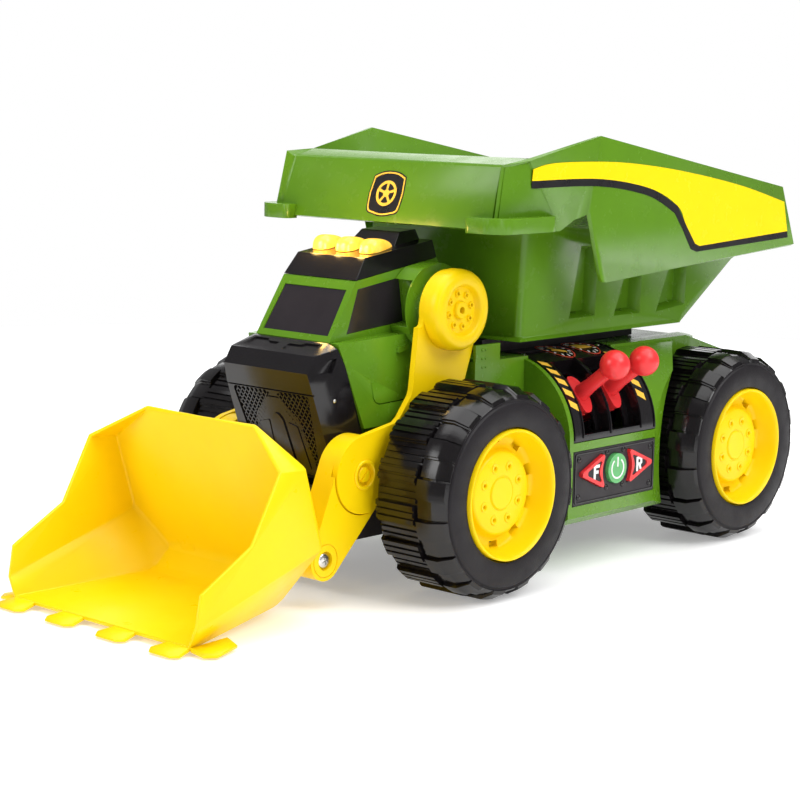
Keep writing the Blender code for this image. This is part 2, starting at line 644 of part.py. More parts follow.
def buttons():
    y_low, y_high = CONSOLE_Y
    z_low, z_high = BUTTON_PLATE_Z
    face = [(y_low, z_low), (y_high, z_low), (y_high, z_high), (y_low, z_high)]
    holes = [outline(0) for _, outline in BUTTONS.values()]
    as_node(plate("button_plate", face, POD_X - WALL, POD_X + 0.2, holes=holes), "charcoal_plastic")
    for name, (colour, outline) in BUTTONS.items():
        pivot(name + "_slide", (POD_X, 120, BUTTON_Z), "truck")
        as_node(plate(name, outline(0.5), 89.2, BUTTON_PROUD_X), colour, name + "_slide")
    as_node(box("circuit_board", (84.0, 85.6), (81, 160), (44, 72)), "board_green")


# ---------------------------------------------------------------- loader


def loader_arms():
    outline = [
        *arc(SHOULDER, 23.2, -20, 190, 20), (-15.4, 154.4), (-18.4, 153.8), (-22.8, 116.6),
        (-34.5, 102), (-45, 97.8), *arc(ELBOW, 22.5, 104, 300, 16), (-34, 58), (8, 92),
        (22.3, 118), (30.2, 140),
    ]
    for name, side, low, high in sides(ARM_X):
        holes = [circle(SHOULDER, 4.0 + GAP), circle(ELBOW, 3.0 + GAP)]
        arm = plate("loader_arm_" + name, outline, low, high, holes=holes)
        as_node(arm, "yellow_plastic", "boom_pivot")
        cut(arm, rod("pin_recess_" + name, 6.2, *sorted((side * 54.8, side * 60)), ELBOW))
        pin = [(0, 56.6), (4.4, 56.6), (4.4, 55.2), (3.0, 55.2), (3.0, LINK_X[0] + 0.5),
               (0, LINK_X[0] + 0.5)]
        pin = turned("elbow_pin_" + name, pin, ELBOW, side, steps=SMALL_ROUND)
        as_node(pin, "yellow_plastic", "boom_pivot")
        if name == "left":
            cap = [(0, 64.6), (14, 64.6), (14.8, HUB_CAP_X[1]), (20.5, HUB_CAP_X[1]), (23.2, 66.6),
                   (24, 64), (24, HUB_CAP_X[0]), (0, HUB_CAP_X[0])]
        else:
            cap = [(0, LOW_CAP_X), (20, LOW_CAP_X), (22.5, HUB_CAP_X[0] + 1), (22.5, HUB_CAP_X[0]),
                   (0, HUB_CAP_X[0])]
        as_node(turned("hub_cap_" + name, cap, SHOULDER, side), "yellow_plastic", "boom_pivot")
    as_node(rod("shoulder_shaft", 4.0, -56.8, 56.8, SHOULDER), "steel", "boom_pivot")


def loader_links():
    reach = Vector(BUCKET_PIVOT) - Vector(ELBOW)
    heading = math.degrees(math.atan2(reach.y, reach.x))
    outline = arc(ELBOW, 22, heading + 80, heading + 280, 20)
    outline += arc(BUCKET_PIVOT, 11.5, heading - 80, heading + 80, 14)
    for name, side, low, high in sides(LINK_X):
        holes = [circle(ELBOW, 3.0 + GAP), circle(BUCKET_PIVOT, 2.0 + GAP)]
        link = plate("loader_link_" + name, outline, low, high, holes=holes)
        as_node(link, "yellow_plastic", "elbow_pivot")
        relief = sorted((side * (ARM_X[0] - 0.5), side * 70))
        cut(link, rod("arm_relief_" + name, 23.2, *relief, ELBOW, steps=32))
        cut(link, rod("screw_recess_" + name, 5.2, *sorted((side * 53.5, side * 60)), BUCKET_PIVOT))


def bucket_back(z):
    """Where the bucket's flat back is at a height."""
    return -135.8 + (108.1 - z) * BUCKET_BACK_LEAN


def bucket():
    points = {
        "lip": (44, -135.8, 108.1), "rear_top": (CHEEK_X, bucket_back(87), 87),
        "rear_mid": (CHEEK_X, bucket_back(44), 44), "heel": (52, bucket_back(22), 22),
        "sole": (52, -125, 9),
        "floor": (73, FLOOR_FRONT_Y, 3.6), "cheek_top": (CHEEK_X, -149.8, 88.8),
        "cheek_mid": (CHEEK_X, -169.7, 52.5), "cheek_low": (CHEEK_X, -205, 32.6),
        "crease_front": (CHEEK_X, FLOOR_FRONT_Y, 15),
    }
    for key in ("lip", "heel", "sole", "floor"):
        points[key + "_mid"] = (0, *points[key][1:])
    faces = [
        ("lip_mid", "lip", "rear_top", "rear_mid", "heel", "heel_mid"),
        ("heel_mid", "heel", "sole", "sole_mid"),
        ("sole_mid", "sole", "floor", "floor_mid"), ("rear_mid", "sole", "heel"),
        ("rear_mid", "crease_front", "floor", "sole"), ("lip", "cheek_top", "rear_top"),
        ("rear_top", "cheek_top", "cheek_mid", "cheek_low", "crease_front", "rear_mid"),
    ]
    scoop = shell("bucket", points, faces, 2.4)
    as_node(scoop, "yellow_plastic", "bucket_pivot")
    for tooth, x in enumerate(TOOTH_X):
        corners = [(x + u, y, z) for u, y, z in both_sides(TOOTH_POINTS)]
        join(scoop, hull_of(f"tooth_{tooth + 1}", corners))
    for name, side, low, high in sides(LUG_X):
        foot = [(side * x, y, z) for x, y, z in FOOT_POINTS]
        join(scoop, hull_of("cheek_foot_" + name, foot))
        lug = [(-112.8, 20), *arc(BUCKET_PIVOT, 8.5, -110, 110, 12), (-112.8, 40)]
        hole = circle(BUCKET_PIVOT, 1.6, 12)
        join(scoop, plate("bucket_lug_" + name, lug, low, high, holes=[hole]))
        screw = [(0, 55.6), (4.6, 55.6), (4.9, 53.9), (2.0, 53.9), (2.0, 40.9), (1.25, 40.9), (1.25, 31),
                 (0, 31)]
        screw = turned("bucket_screw_" + name, screw, BUCKET_PIVOT, side, steps=SMALL_ROUND)
        as_node(screw, "steel", "bucket_pivot")


# ---------------------------------------------------------------- bed


def dump_bed():
    floor_z, ledge_z = 140.2, 212.0
    points = {
        "floor_front": (61, 68, floor_z), "floor_back": (61, 233.5, floor_z), "slope_end": (61, 291, 180),
        "tail": (61, 319, 190), "tail_side": (93.8, 319, 190),
        "ledge_front": (63, 68, ledge_z), "ledge_side": (91.7, 64, 209.5), "notch": (92.6, 76.5, 215.8),
        "brow_back": (88.9, 38.8, 249.8), "brow_front": (87.4, 21.5, 246.4), "visor": (86.9, 8.3, 210.4),
        "peak": (93.8, 99.1, 264.2), "rear_top": (93.8, 302, 229),
        "skirt_front": (93.8, 103.5, 175.4), "skirt_top": (93.8, 90.5, 218.5),
    }
    for key in ("floor_front", "floor_back", "slope_end", "tail", "ledge_front", "brow_back", "brow_front",
                "visor"):
        points[key + "_mid"] = (0, *points[key][1:])
    faces = [
        ("floor_front_mid", "floor_front", "floor_back", "floor_back_mid"),
        ("floor_back_mid", "floor_back", "slope_end", "slope_end_mid"),
        ("slope_end_mid", "slope_end", "tail", "tail_mid"),
        ("floor_front_mid", "floor_front", "ledge_front", "ledge_front_mid"),
        ("floor_front", "floor_back", "ledge_front"), ("floor_back", "slope_end", "ledge_front"),
        ("slope_end", "tail", "ledge_front"),
        ("ledge_front", "ledge_side", "notch"), ("ledge_front", "notch", "skirt_top"),
        ("ledge_front", "skirt_top", "tail_side", "tail"),
        ("ledge_front_mid", "ledge_front", "ledge_side", "brow_back", "brow_back_mid"),
        ("brow_back_mid", "brow_back", "brow_front", "brow_front_mid"),
        ("brow_front_mid", "brow_front", "visor", "visor_mid"),
        ("ledge_side", "brow_back", "brow_front", "visor"), ("ledge_side", "notch", "brow_back"),
        ("notch", "peak", "brow_back"), ("notch", "skirt_top", "peak"), ("skirt_top", "rear_top", "peak"),
        ("skirt_top", "tail_side", "rear_top"), ("skirt_top", "skirt_front", "tail_side"),
    ]
    bed = shell("dump_bed", points, faces, WALL)
    as_node(bed, "green_plastic", "bed_pivot")
    for name, side in SIDES:
        tab = [(72, 12), (72, 0.8), (89, 0.8), (97, 9), (97, 63), (91, 63), (85.5, 12)]
        join(bed, plate("visor_tab_" + name, [(side * x, y) for x, y in tab], 208.8, 217.6, view="top"))
    knuckle = [*arc(BED_HINGE, 4.0, -200, 20, 12), (236, 140), (228, 140)]
    join(bed, plate("bed_knuckle", knuckle, -14, 14, holes=[circle(BED_HINGE, 2.0 + GAP, 12)]))


# ---------------------------------------------------------------- electrics


def electrics():
    box_node = box("battery_box", (-30, 30), (98, 164), (34.0, 54))
    cut(as_node(box_node, "charcoal_plastic"), box("cell_room", (-27.6, 27.6), (100.4, 161.6), (30, 51.8)))
    for number, x in enumerate((-17.5, 0, 17.5), 1):
        as_node(rod(f"battery_{number}", 7.2, 106, 156, (x, 43.5), along="y"), "battery_wrap")
    as_node(box("battery_door", (-26.6, 26.6), (102.4, 159.6), (31.2, 33.6)), "charcoal_plastic")
    as_node(rod("speaker", 17.0, -90.5, -80, (120, 62), steps=24), "steel")


wheels()
gear_train()
chassis_pan()
hull_shell()
deck_plate()
cab()
cab_roof()
beacons()
nose()
console()
levers()
buttons()
loader_arms()
loader_links()
bucket()
dump_bed()
electrics()
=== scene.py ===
"""Looks of the toy dump truck with a front loader: moulded shells, tyre treads, decals, materials,
light and camera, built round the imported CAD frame. Sizes are millimetres in the truck's own frame
(front axle at y = 0, facing -Y, ground at z = 0) and become metres as each piece is made."""

import json
import math

import bmesh
import bpy
from mathutils import Matrix, Vector


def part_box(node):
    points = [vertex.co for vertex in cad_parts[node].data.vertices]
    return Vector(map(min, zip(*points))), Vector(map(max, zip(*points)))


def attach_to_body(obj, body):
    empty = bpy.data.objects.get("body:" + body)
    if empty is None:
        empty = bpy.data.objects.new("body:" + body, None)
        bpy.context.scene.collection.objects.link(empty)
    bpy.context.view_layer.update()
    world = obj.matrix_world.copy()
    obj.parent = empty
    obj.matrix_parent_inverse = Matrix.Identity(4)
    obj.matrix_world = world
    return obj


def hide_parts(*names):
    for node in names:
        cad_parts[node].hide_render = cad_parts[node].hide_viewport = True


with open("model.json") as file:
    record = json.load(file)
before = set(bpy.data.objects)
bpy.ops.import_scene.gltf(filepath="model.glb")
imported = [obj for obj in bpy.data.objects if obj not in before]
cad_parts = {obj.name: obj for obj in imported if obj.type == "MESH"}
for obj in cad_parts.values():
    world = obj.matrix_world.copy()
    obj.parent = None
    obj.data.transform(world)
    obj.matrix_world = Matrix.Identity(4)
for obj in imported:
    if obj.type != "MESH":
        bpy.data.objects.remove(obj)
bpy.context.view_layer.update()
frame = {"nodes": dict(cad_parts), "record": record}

MM = 0.001


def middle(node):
    low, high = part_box(node)
    return (Vector(low) + Vector(high)) / 2


AXLE_AT = middle("front_axle")
SHIFT = Vector((0, AXLE_AT.y, 0))
WHEEL_Z = AXLE_AT.z / MM
REAR_Y = (middle("rear_axle").y - AXLE_AT.y) / MM
TYRE_LOW, TYRE_HIGH = (Vector(v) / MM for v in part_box("front_tyre_left"))
WHEEL_RADIUS = (TYRE_HIGH.z - TYRE_LOW.z) / 2
TYRE_IN, TYRE_OUT = TYRE_LOW.x, TYRE_HIGH.x
RIM_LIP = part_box("front_rim_left")[1][0] / MM


# ---------------------------------------------------------------- materials


def node_material(name):
    """An empty node material with its tree and its Principled BSDF."""
    material = bpy.data.materials.new(name)
    material.use_nodes = True
    tree = material.node_tree
    return material, tree, tree.nodes["Principled BSDF"]


def set_inputs(node, **values):
    """Sets input values. An underscore stands for a space in an input's name."""
    for key, value in values.items():
        node.inputs[key.replace("_", " ")].default_value = value
    return node


def new_node(tree, kind, **values):
    return set_inputs(tree.nodes.new("ShaderNode" + kind), **values)


def object_coords(tree):
    return new_node(tree, "TexCoord").outputs["Object"]


def noise(tree, coords, scale, detail=3.0, roughness=0.55):
    texture = new_node(tree, "TexNoise", Scale=scale, Detail=detail, Roughness=roughness)
    tree.links.new(coords, texture.inputs["Vector"])
    return texture.outputs["Fac"]


def ramp(tree, source, low, high):
    """The source's grey values mapped from low to high."""
    mapped = new_node(tree, "MapRange", From_Min=0.3, From_Max=0.7, To_Min=low, To_Max=high)
    tree.links.new(source, mapped.inputs["Value"])
    return mapped.outputs["Result"]


def blend(tree, factor, one, two):
    """A colour that goes from one to two with the factor."""
    mix = tree.nodes.new("ShaderNodeMix")
    mix.data_type = "RGBA"
    set_inputs(mix, A=(*one, 1), B=(*two, 1))
    tree.links.new(factor, mix.inputs["Factor"])
    return mix.outputs["Result"]


def bump(tree, height, strength, distance, normal=None):
    node = new_node(tree, "Bump", Strength=strength, Distance=distance)
    tree.links.new(height, node.inputs["Height"])
    if normal:
        tree.links.new(normal, node.inputs["Normal"])
    return node.outputs["Normal"]


def moulded(name, slot, colour, roughness, variation=0.05, grain=0.02, ripple=0.05, **values):
    """Moulded plastic: faint cloudiness in its colour, uneven gloss, fine grain and slow ripples."""
    material, tree, shader = node_material(name)
    coords = object_coords(tree)
    dark, light = ([min(1, c * (1 + change)) for c in colour] for change in (-variation, variation))
    cloud = ramp(tree, noise(tree, coords, 38, 4), 0, 1)
    tree.links.new(blend(tree, cloud, dark, light), shader.inputs["Base Color"])
    gloss = ramp(tree, noise(tree, coords, 95, 5, 0.65), roughness * 0.8, roughness * 1.2)
    tree.links.new(gloss, shader.inputs["Roughness"])
    wavy = bump(tree, noise(tree, coords, 30, 1), ripple, 0.002)
    tree.links.new(bump(tree, noise(tree, coords, 1400, 2), grain, 0.0004, wavy), shader.inputs["Normal"])
    set_inputs(shader, **values)
    return material


def metal(name, colour, roughness, brushed=0.15):
    material, tree, shader = node_material(name)
    stretch = new_node(tree, "Mapping", Scale=(40, 1, 1))
    tree.links.new(object_coords(tree), stretch.inputs["Vector"])
    lines = new_node(tree, "TexNoise", Scale=180)
    tree.links.new(stretch.outputs["Vector"], lines.inputs["Vector"])
    lines = lines.outputs["Fac"]
    tree.links.new(ramp(tree, lines, roughness * 0.7, roughness * 1.4), shader.inputs["Roughness"])
    tree.links.new(bump(tree, lines, brushed, 0.0002), shader.inputs["Normal"])
    set_inputs(shader, Base_Color=(*colour, 1), Metallic=1.0)
    return material


GREEN = moulded("green_plastic", "green_plastic", (0.100, 0.240, 0.009), 0.25, 0.04, 0.02, 0.02,
                Specular_IOR_Level=0.36)
YELLOW = moulded("yellow_plastic", "yellow_plastic", (0.93, 0.64, 0.002), 0.33, 0.02, 0.03, 0.03,
                 Specular_IOR_Level=0.22)
BLACK = moulded("black_gloss", "black_gloss", (0.007, 0.006, 0.007), 0.16, 0.2, 0.02, 0.03,
                Specular_IOR_Level=0.5)
CHARCOAL = moulded("charcoal_plastic", "charcoal_plastic", (0.024, 0.021, 0.024), 0.45, 0.15, 0.12, 0.03,
                   Specular_IOR_Level=0.3)
SIDEWALL = moulded("tyre_sidewall", "tyre_black", (0.010, 0.008, 0.010), 0.46, 0.15, 0.22, 0.02,
                   Specular_IOR_Level=0.25)
TREAD = moulded("tyre_tread", "tyre_black", (0.005, 0.004, 0.0045), 0.19, 0.2, 0.05, 0.08,
                Specular_IOR_Level=0.42)
RED = moulded("red_plastic", "red_plastic", (0.84, 0.030, 0.034), 0.34, 0.04, 0.03, 0.03,
              Subsurface_Weight=0.08)
GLASS = moulded("smoked_window", "tinted_glass", (0.022, 0.018, 0.021), 0.2, 0.1, 0.01, 0.02,
                Specular_IOR_Level=0.35)
STEEL = metal("plated_steel", (0.66, 0.65, 0.63), 0.22)
NYLON = moulded("white_nylon", "white_nylon", (0.80, 0.78, 0.72), 0.42, 0.03, 0.05)
BOARD = moulded("board_laminate", "board_green", (0.02, 0.16, 0.07), 0.5, 0.1, 0.1)
CELL = moulded("cell_wrapper", "battery_wrap", (0.35, 0.16, 0.03), 0.3, 0.05)
SWEEP_YELLOW = moulded("sticker_yellow", "yellow_plastic", (0.99, 0.70, 0.002), 0.25, 0.01, 0.01, 0.02,
                       Specular_IOR_Level=0.3)
PRINT_BLACK = moulded("print_black", "black_gloss", (0.009, 0.008, 0.009), 0.30, 0.1, 0.01, 0.02)
PRINT_WHITE = moulded("print_white", "white_nylon", (0.86, 0.86, 0.84), 0.35, 0.02, 0.01, 0.01)
PRINT_AMBER = moulded("print_amber", "yellow_plastic", (0.95, 0.55, 0.06), 0.32, 0.03, 0.01, 0.01)
PRINT_RED = moulded("print_red", "red_plastic", (0.62, 0.05, 0.03), 0.32, 0.03, 0.01, 0.01)
GREEN_LENS = moulded("button_green", "button_green", (0.10, 0.42, 0.13), 0.28, 0.04, 0.02, 0.02,
                     Subsurface_Weight=0.1)


def lamp_material():
    """Lit amber plastic with faint speckles in its glow."""
    material, tree, shader = node_material("amber_lens")
    speckle = ramp(tree, noise(tree, object_coords(tree), 160, 2), 0, 1)
    glow = blend(tree, speckle, (1.0, 0.46, 0.03), (1.0, 0.80, 0.16))
    tree.links.new(glow, shader.inputs["Emission Color"])
    set_inputs(shader, Emission_Strength=0.60, Base_Color=(0.80, 0.40, 0.03, 1), Roughness=0.2)
    return material


AMBER = lamp_material()


# ---------------------------------------------------------------- shape tools


def circle(centre, radius, steps=48):
    return arc(centre, radius, 0, 360, steps)[:-1]


def arc(centre, radius, start, end, steps):
    angles = [math.radians(start + (end - start) * i / steps) for i in range(steps + 1)]
    return [(centre[0] + radius * math.cos(a), centre[1] + radius * math.sin(a)) for a in angles]


def rounded(outline, radius, steps=4):
    """The outline with each corner turned into a round one."""
    points = []
    count = len(outline)
    for i, here in enumerate(outline):
        here = Vector(here)
        before, after = Vector(outline[i - 1]), Vector(outline[(i + 1) % count])
        one, two = before - here, after - here
        reach = min(radius, one.length * 0.45, two.length * 0.45)
        start, end = here + one.normalized() * reach, here + two.normalized() * reach
        for step in range(steps + 1):
            t = step / steps
            points.append(tuple(start * (1 - t) ** 2 + here * 2 * t * (1 - t) + end * t * t))
    return points


def new_object(name, data):
    obj = bpy.data.objects.new(name, data)
    bpy.context.scene.collection.objects.link(obj)
    return obj


def mesh_object(name, bm):
    """The object of a mesh, which is used up."""
    mesh = bpy.data.meshes.new(name)
    bm.to_mesh(mesh)
    bm.free()
    return new_object(name, mesh)


def to_frame(bm):
    """Takes a mesh from the truck's frame in millimetres to the shared frame in metres."""
    for vert in bm.verts:
        vert.co = vert.co * MM + SHIFT
    return bm


def placed(name, bm):
    """The object of a mesh that was built in the truck's frame, in millimetres."""
    bmesh.ops.remove_doubles(bm, verts=bm.verts[:], dist=1e-4)
    face_outward(bm)
    return mesh_object(name, to_frame(bm))


def face_outward(bm):
    bmesh.ops.recalc_face_normals(bm, faces=bm.faces[:])
    if bm.calc_volume(signed=True) < 0:
        bmesh.ops.reverse_faces(bm, faces=bm.faces[:])


def evaluated_mesh(obj):
    bpy.context.view_layer.update()
    return bpy.data.meshes.new_from_object(obj.evaluated_get(bpy.context.evaluated_depsgraph_get()))


def slice_mesh(bm, place, normal, **options):
    geom = bm.verts[:] + bm.edges[:] + bm.faces[:]
    bmesh.ops.bisect_plane(bm, geom=geom, plane_co=place, plane_no=normal, **options)


VIEWS = {
    "side": Matrix(((0, 0, 1), (1, 0, 0), (0, 1, 0))),
    "front": Matrix(((1, 0, 0), (0, 0, -1), (0, 1, 0))),
    "top": Matrix(((1, 0, 0), (0, 1, 0), (0, 0, 1))),
}


def plate_mesh(outline, low, high, view="side", holes=()):
    """A flat outline given a thickness from low to high across the view, as a bmesh in millimetres."""
    curve = bpy.data.curves.new("outline", "CURVE")
    curve.dimensions = "2D"
    curve.fill_mode = "BOTH"
    curve.extrude = (high - low) / 2
    for loop in (outline, *holes):
        spline = curve.splines.new("POLY")
        spline.points.add(len(loop) - 1)
        for point, (u, v) in zip(spline.points, loop):
            point.co = (u, v, 0, 1)
        spline.use_cyclic_u = True
    flat = new_object("outline", curve)
    mesh = evaluated_mesh(flat)
    bpy.data.objects.remove(flat, do_unlink=True)
    bm = bmesh.new()
    bm.from_mesh(mesh)
    bpy.data.meshes.remove(mesh)
    offset = (low + high) / 2 * (-1 if view == "front" else 1)
    bm.transform(VIEWS[view].to_4x4() @ Matrix.Translation((0, 0, offset)))
    bmesh.ops.remove_doubles(bm, verts=bm.verts[:], dist=1e-4)
    return bm


def plate(name, *args, **options):
    return placed(name, plate_mesh(*args, **options))


def box(name, x, y, z):
    return placed(name, box_mesh(x, y, z))


def box_mesh(x, y, z):
    bm = bmesh.new()
    bmesh.ops.create_cube(bm, size=1)
    for vert in bm.verts:
        for axis, (low, high) in enumerate((x, y, z)):
            vert.co[axis] = (low + high + 2 * vert.co[axis] * (high - low)) / 2
    return bm


def turned_mesh(profile, centre, side=1, steps=64, along="x"):
    """A profile of (radius, distance along the axis) turned about an axis through centre."""
    bm = bmesh.new()
    closed = profile[0][0] > 0
    rings = []
    for radius, height in profile:
        if radius < 1e-6:
            rings.append([bm.verts.new((0, 0, height))] * steps)
            continue
        angles = [2 * math.pi * i / steps for i in range(steps)]
        rings.append([bm.verts.new((radius * math.cos(a), radius * math.sin(a), height)) for a in angles])
    pairs = list(zip(rings, rings[1:])) + ([(rings[-1], rings[0])] if closed else [])
    for upper, lower in pairs:
        for i in range(steps):
            corners = [upper[i], upper[i - 1], lower[i - 1], lower[i]]
            unique = list(dict.fromkeys(corners))
            if len(unique) > 2:
                bm.faces.new(unique)
    spin = Matrix.Rotation(math.radians(90 * side), 4, "Y")
    across = Vector((0, centre[0], centre[1]))
    if along == "y":
        spin = Matrix.Rotation(math.radians(-90 * side), 4, "X")
        across = Vector((centre[0], 0, centre[1]))
    bm.transform(Matrix.Translation(across) @ spin)
    return bm


def turned(name, *args, **options):
    return placed(name, turned_mesh(*args, **options))


def rod(name, radius, low, high, centre, along="x", steps=48):
    return turned(name, [(0, high), (radius, high), (radius, low), (0, low)], centre, 1, steps, along)


def hull_of(name, points):
    bm = bmesh.new()
    for point in points:
        bm.verts.new(Vector(point))
    result = bmesh.ops.convex_hull(bm, input=bm.verts[:])
    loose = [v for v in result["geom_interior"] if isinstance(v, bmesh.types.BMVert)]
    bmesh.ops.delete(bm, geom=loose, context="VERTS")
    bmesh.ops.dissolve_limit(bm, angle_limit=0.02, verts=bm.verts[:], edges=bm.edges[:])
    return placed(name, bm)


def both_sides(points):
    return sided(points, 1) + sided(points, -1)


def slab(name, corners, above, below):
    """A flat panel through the corners, from above its plane to below it."""
    points = [Vector(p) for p in corners]
    normal = (points[1] - points[0]).cross(points[2] - points[0]).normalized()
    return hull_of(name, [tuple(p + normal * h) for p in points for h in (above, -below)])


def gather(name, meshes):
    """Several closed shapes as one piece."""
    whole = bmesh.new()
    for bm in meshes:
        part = bpy.data.meshes.new("part")
        bmesh.ops.recalc_face_normals(bm, faces=bm.faces[:])
        bm.to_mesh(part)
        bm.free()
        whole.from_mesh(part)
        bpy.data.meshes.remove(part)
    return mesh_object(name, to_frame(whole))


def bake(obj):
    """Makes an object's modifiers part of its mesh."""
    mesh = evaluated_mesh(obj)
    obj.modifiers.clear()
    obj.data = mesh
    return obj


def outward(obj):
    """Turns an inside-out mesh the right way round."""
    bm = bmesh.new()
    bm.from_mesh(obj.data)
    bmesh.ops.remove_doubles(bm, verts=bm.verts[:], dist=1e-7)
    face_outward(bm)
    bm.to_mesh(obj.data)
    bm.free()
    return obj


def combine(target, operation, *others):
    for other in others:
        change = target.modifiers.new("shape", "BOOLEAN")
        change.operation = operation
        change.object = other
        bake(target)
        bpy.data.objects.remove(other, do_unlink=True)
    return target


def cut(target, *others):
    return combine(target, "DIFFERENCE", *others)


def join(target, *others):
    return combine(target, "UNION", *others)


def attach(target, *others):
    """Puts closed shapes into the target's mesh where they run into it."""
    bm = bmesh.new()
    for part in (target, *others):
        bm.from_mesh(part.data)
    bm.to_mesh(target.data)
    bm.free()
    for other in others:
        bpy.data.objects.remove(other, do_unlink=True)
    return target


def soften(obj, width=0.6, segments=2, angle=28):
    """Rounds the edges as a mould does."""
    edges = obj.modifiers.new("edges", "BEVEL")
    edges.width = width * MM
    edges.segments = segments
    edges.limit_method = "ANGLE"
    edges.angle_limit = math.radians(angle)
    edges.use_clamp_overlap = True
    edges.harden_normals = True
    return obj


def dress(obj, body, material, replaces=(), smooth=30):
    """Files a piece: its material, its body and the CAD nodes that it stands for."""
    if material not in list(obj.data.materials):
        obj.data.materials.clear()
        obj.data.materials.append(material)
    if obj.type == "MESH":
        obj.data.shade_smooth()
        obj.data.set_sharp_from_angle(angle=math.radians(smooth))
    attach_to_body(obj, body)
    if replaces:
        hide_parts(*replaces)
    return obj


SIDES = (("left", 1), ("right", -1))


def rivet(place, radius=0.9, height=0.6, along="x", side=1):
    """A small domed head standing on a face."""
    profile = [(0, height), (radius * 0.55, height * 0.86), (radius * 0.9, height * 0.45), (radius, 0),
               (radius, -0.4), (0, -0.4)]
    bm = turned_mesh(profile, (0, 0), side, 14, along)
    bm.transform(Matrix.Translation(place))
    return bm


def span(side, low, high):
    """A range across the truck's left half, on the side asked for."""
    return tuple(sorted((side * low, side * high)))


def sided(points, side):
    """Points of the left half, on the side asked for."""
    return [(side * x, *rest) for x, *rest in points]


def polar(centre, radius, degrees):
    angle = math.radians(degrees)
    return centre[0] + radius * math.cos(angle), centre[1] + radius * math.sin(angle)


def signed_power(value, power):
    """Squares off a sine or a unit sphere."""
    return math.copysign(abs(value) ** power, value)


def turned_run(points, degrees):
    """Points of a plane turned about its origin."""
    turn = Matrix.Rotation(math.radians(degrees), 2)
    return [tuple(turn @ Vector(p)) for p in points]


def turned_about(bm, centre, degrees):
    """Turns a mesh about the line across the truck through centre (y, z), from the origin to there."""
    bm.transform(Matrix.Translation((0, *centre)) @ Matrix.Rotation(math.radians(degrees), 4, "X"))
    return bm


# ---------------------------------------------------------------- wheels

TREAD_BLOCKS = 32
RIBS = 3
# How far each zone of the tread lies below the tyre's radius: a high block, a low one, a groove's extra.
TREAD_DROPS = {
    "inner": (0, 2.4, 1.1), "inner_edge": (1.0, 3.2, 0.9), "line": (3.6, 3.6, 0),
    "outer": (0.2, 2.4, 1.0), "facet_top": (1.0, 3.0, 1.0), "facet_low": (4.4, 5.8, 0.8),
}


def tread_radius(zone, block, rib, groove):
    """The radius of a zone of the tread at a rib. A number stands for itself."""
    if zone not in TREAD_DROPS:
        return zone
    high, low, channel = TREAD_DROPS[zone]
    if zone.startswith("inner"):
        raised, grooved = block % 2 == 0, groove
    else:
        raised, grooved = (block + (rib >= 2)) % 2 == 1, rib == 1 and groove
    return WHEEL_RADIUS - (high if raised else low) - (channel if grooved else 0)


def tyre_mesh(side, phase):
    """Blow-moulded tyre: ribbed inner tread, glossy outer blocks with shoulder facets, flat sidewall."""
    stations = []
    for block in range(TREAD_BLOCKS):
        for rib in range(RIBS):
            base = (block * RIBS + rib) / (TREAD_BLOCKS * RIBS)
            width = 1 / (TREAD_BLOCKS * RIBS)
            for share, groove in ((0.04, 0), (0.66, 0), (0.72, 1), (0.97, 1)):
                stations.append((base + share * width, block, rib, groove))
    split = TYRE_IN + 31.5
    rows = [
        (38.4, TYRE_IN), (54.0, TYRE_IN), (57.0, TYRE_IN + 0.6), ("inner_edge", TYRE_IN + 2.2),
        ("inner", TYRE_IN + 4.0), ("inner", split - 0.5), ("line", split), ("line", split + 0.9),
        ("outer", split + 1.4), ("outer", TYRE_OUT - 9.6), ("facet_top", TYRE_OUT - 8.2),
        ("facet_low", TYRE_OUT - 1.6), (55.2, TYRE_OUT - 0.7), (54.6, TYRE_OUT - 1.3),
        (53.8, TYRE_OUT - 1.3), (53.2, TYRE_OUT - 0.4), (52.4, TYRE_OUT), (40.6, TYRE_OUT),
        (39.2, TYRE_OUT - 0.5), (38.5, TYRE_OUT - 1.8),
    ]
    bm = bmesh.new()
    grid = []
    for turn, block, rib, groove in stations:
        angle = 2 * math.pi * turn + phase
        column = []
        for zone, x in rows:
            radius = tread_radius(zone, block, rib, groove)
            column.append(bm.verts.new((side * x, radius * math.cos(angle), radius * math.sin(angle))))
        grid.append(column)
    count = len(rows)
    for i, column in enumerate(grid):
        after = grid[(i + 1) % len(grid)]
        for row in range(count):
            below = (row + 1) % count
            face = bm.faces.new((column[row], after[row], after[below], column[below]))
            face.material_index = 1 if 12 <= row <= 17 or row in (0, 1) else 0
    return bm


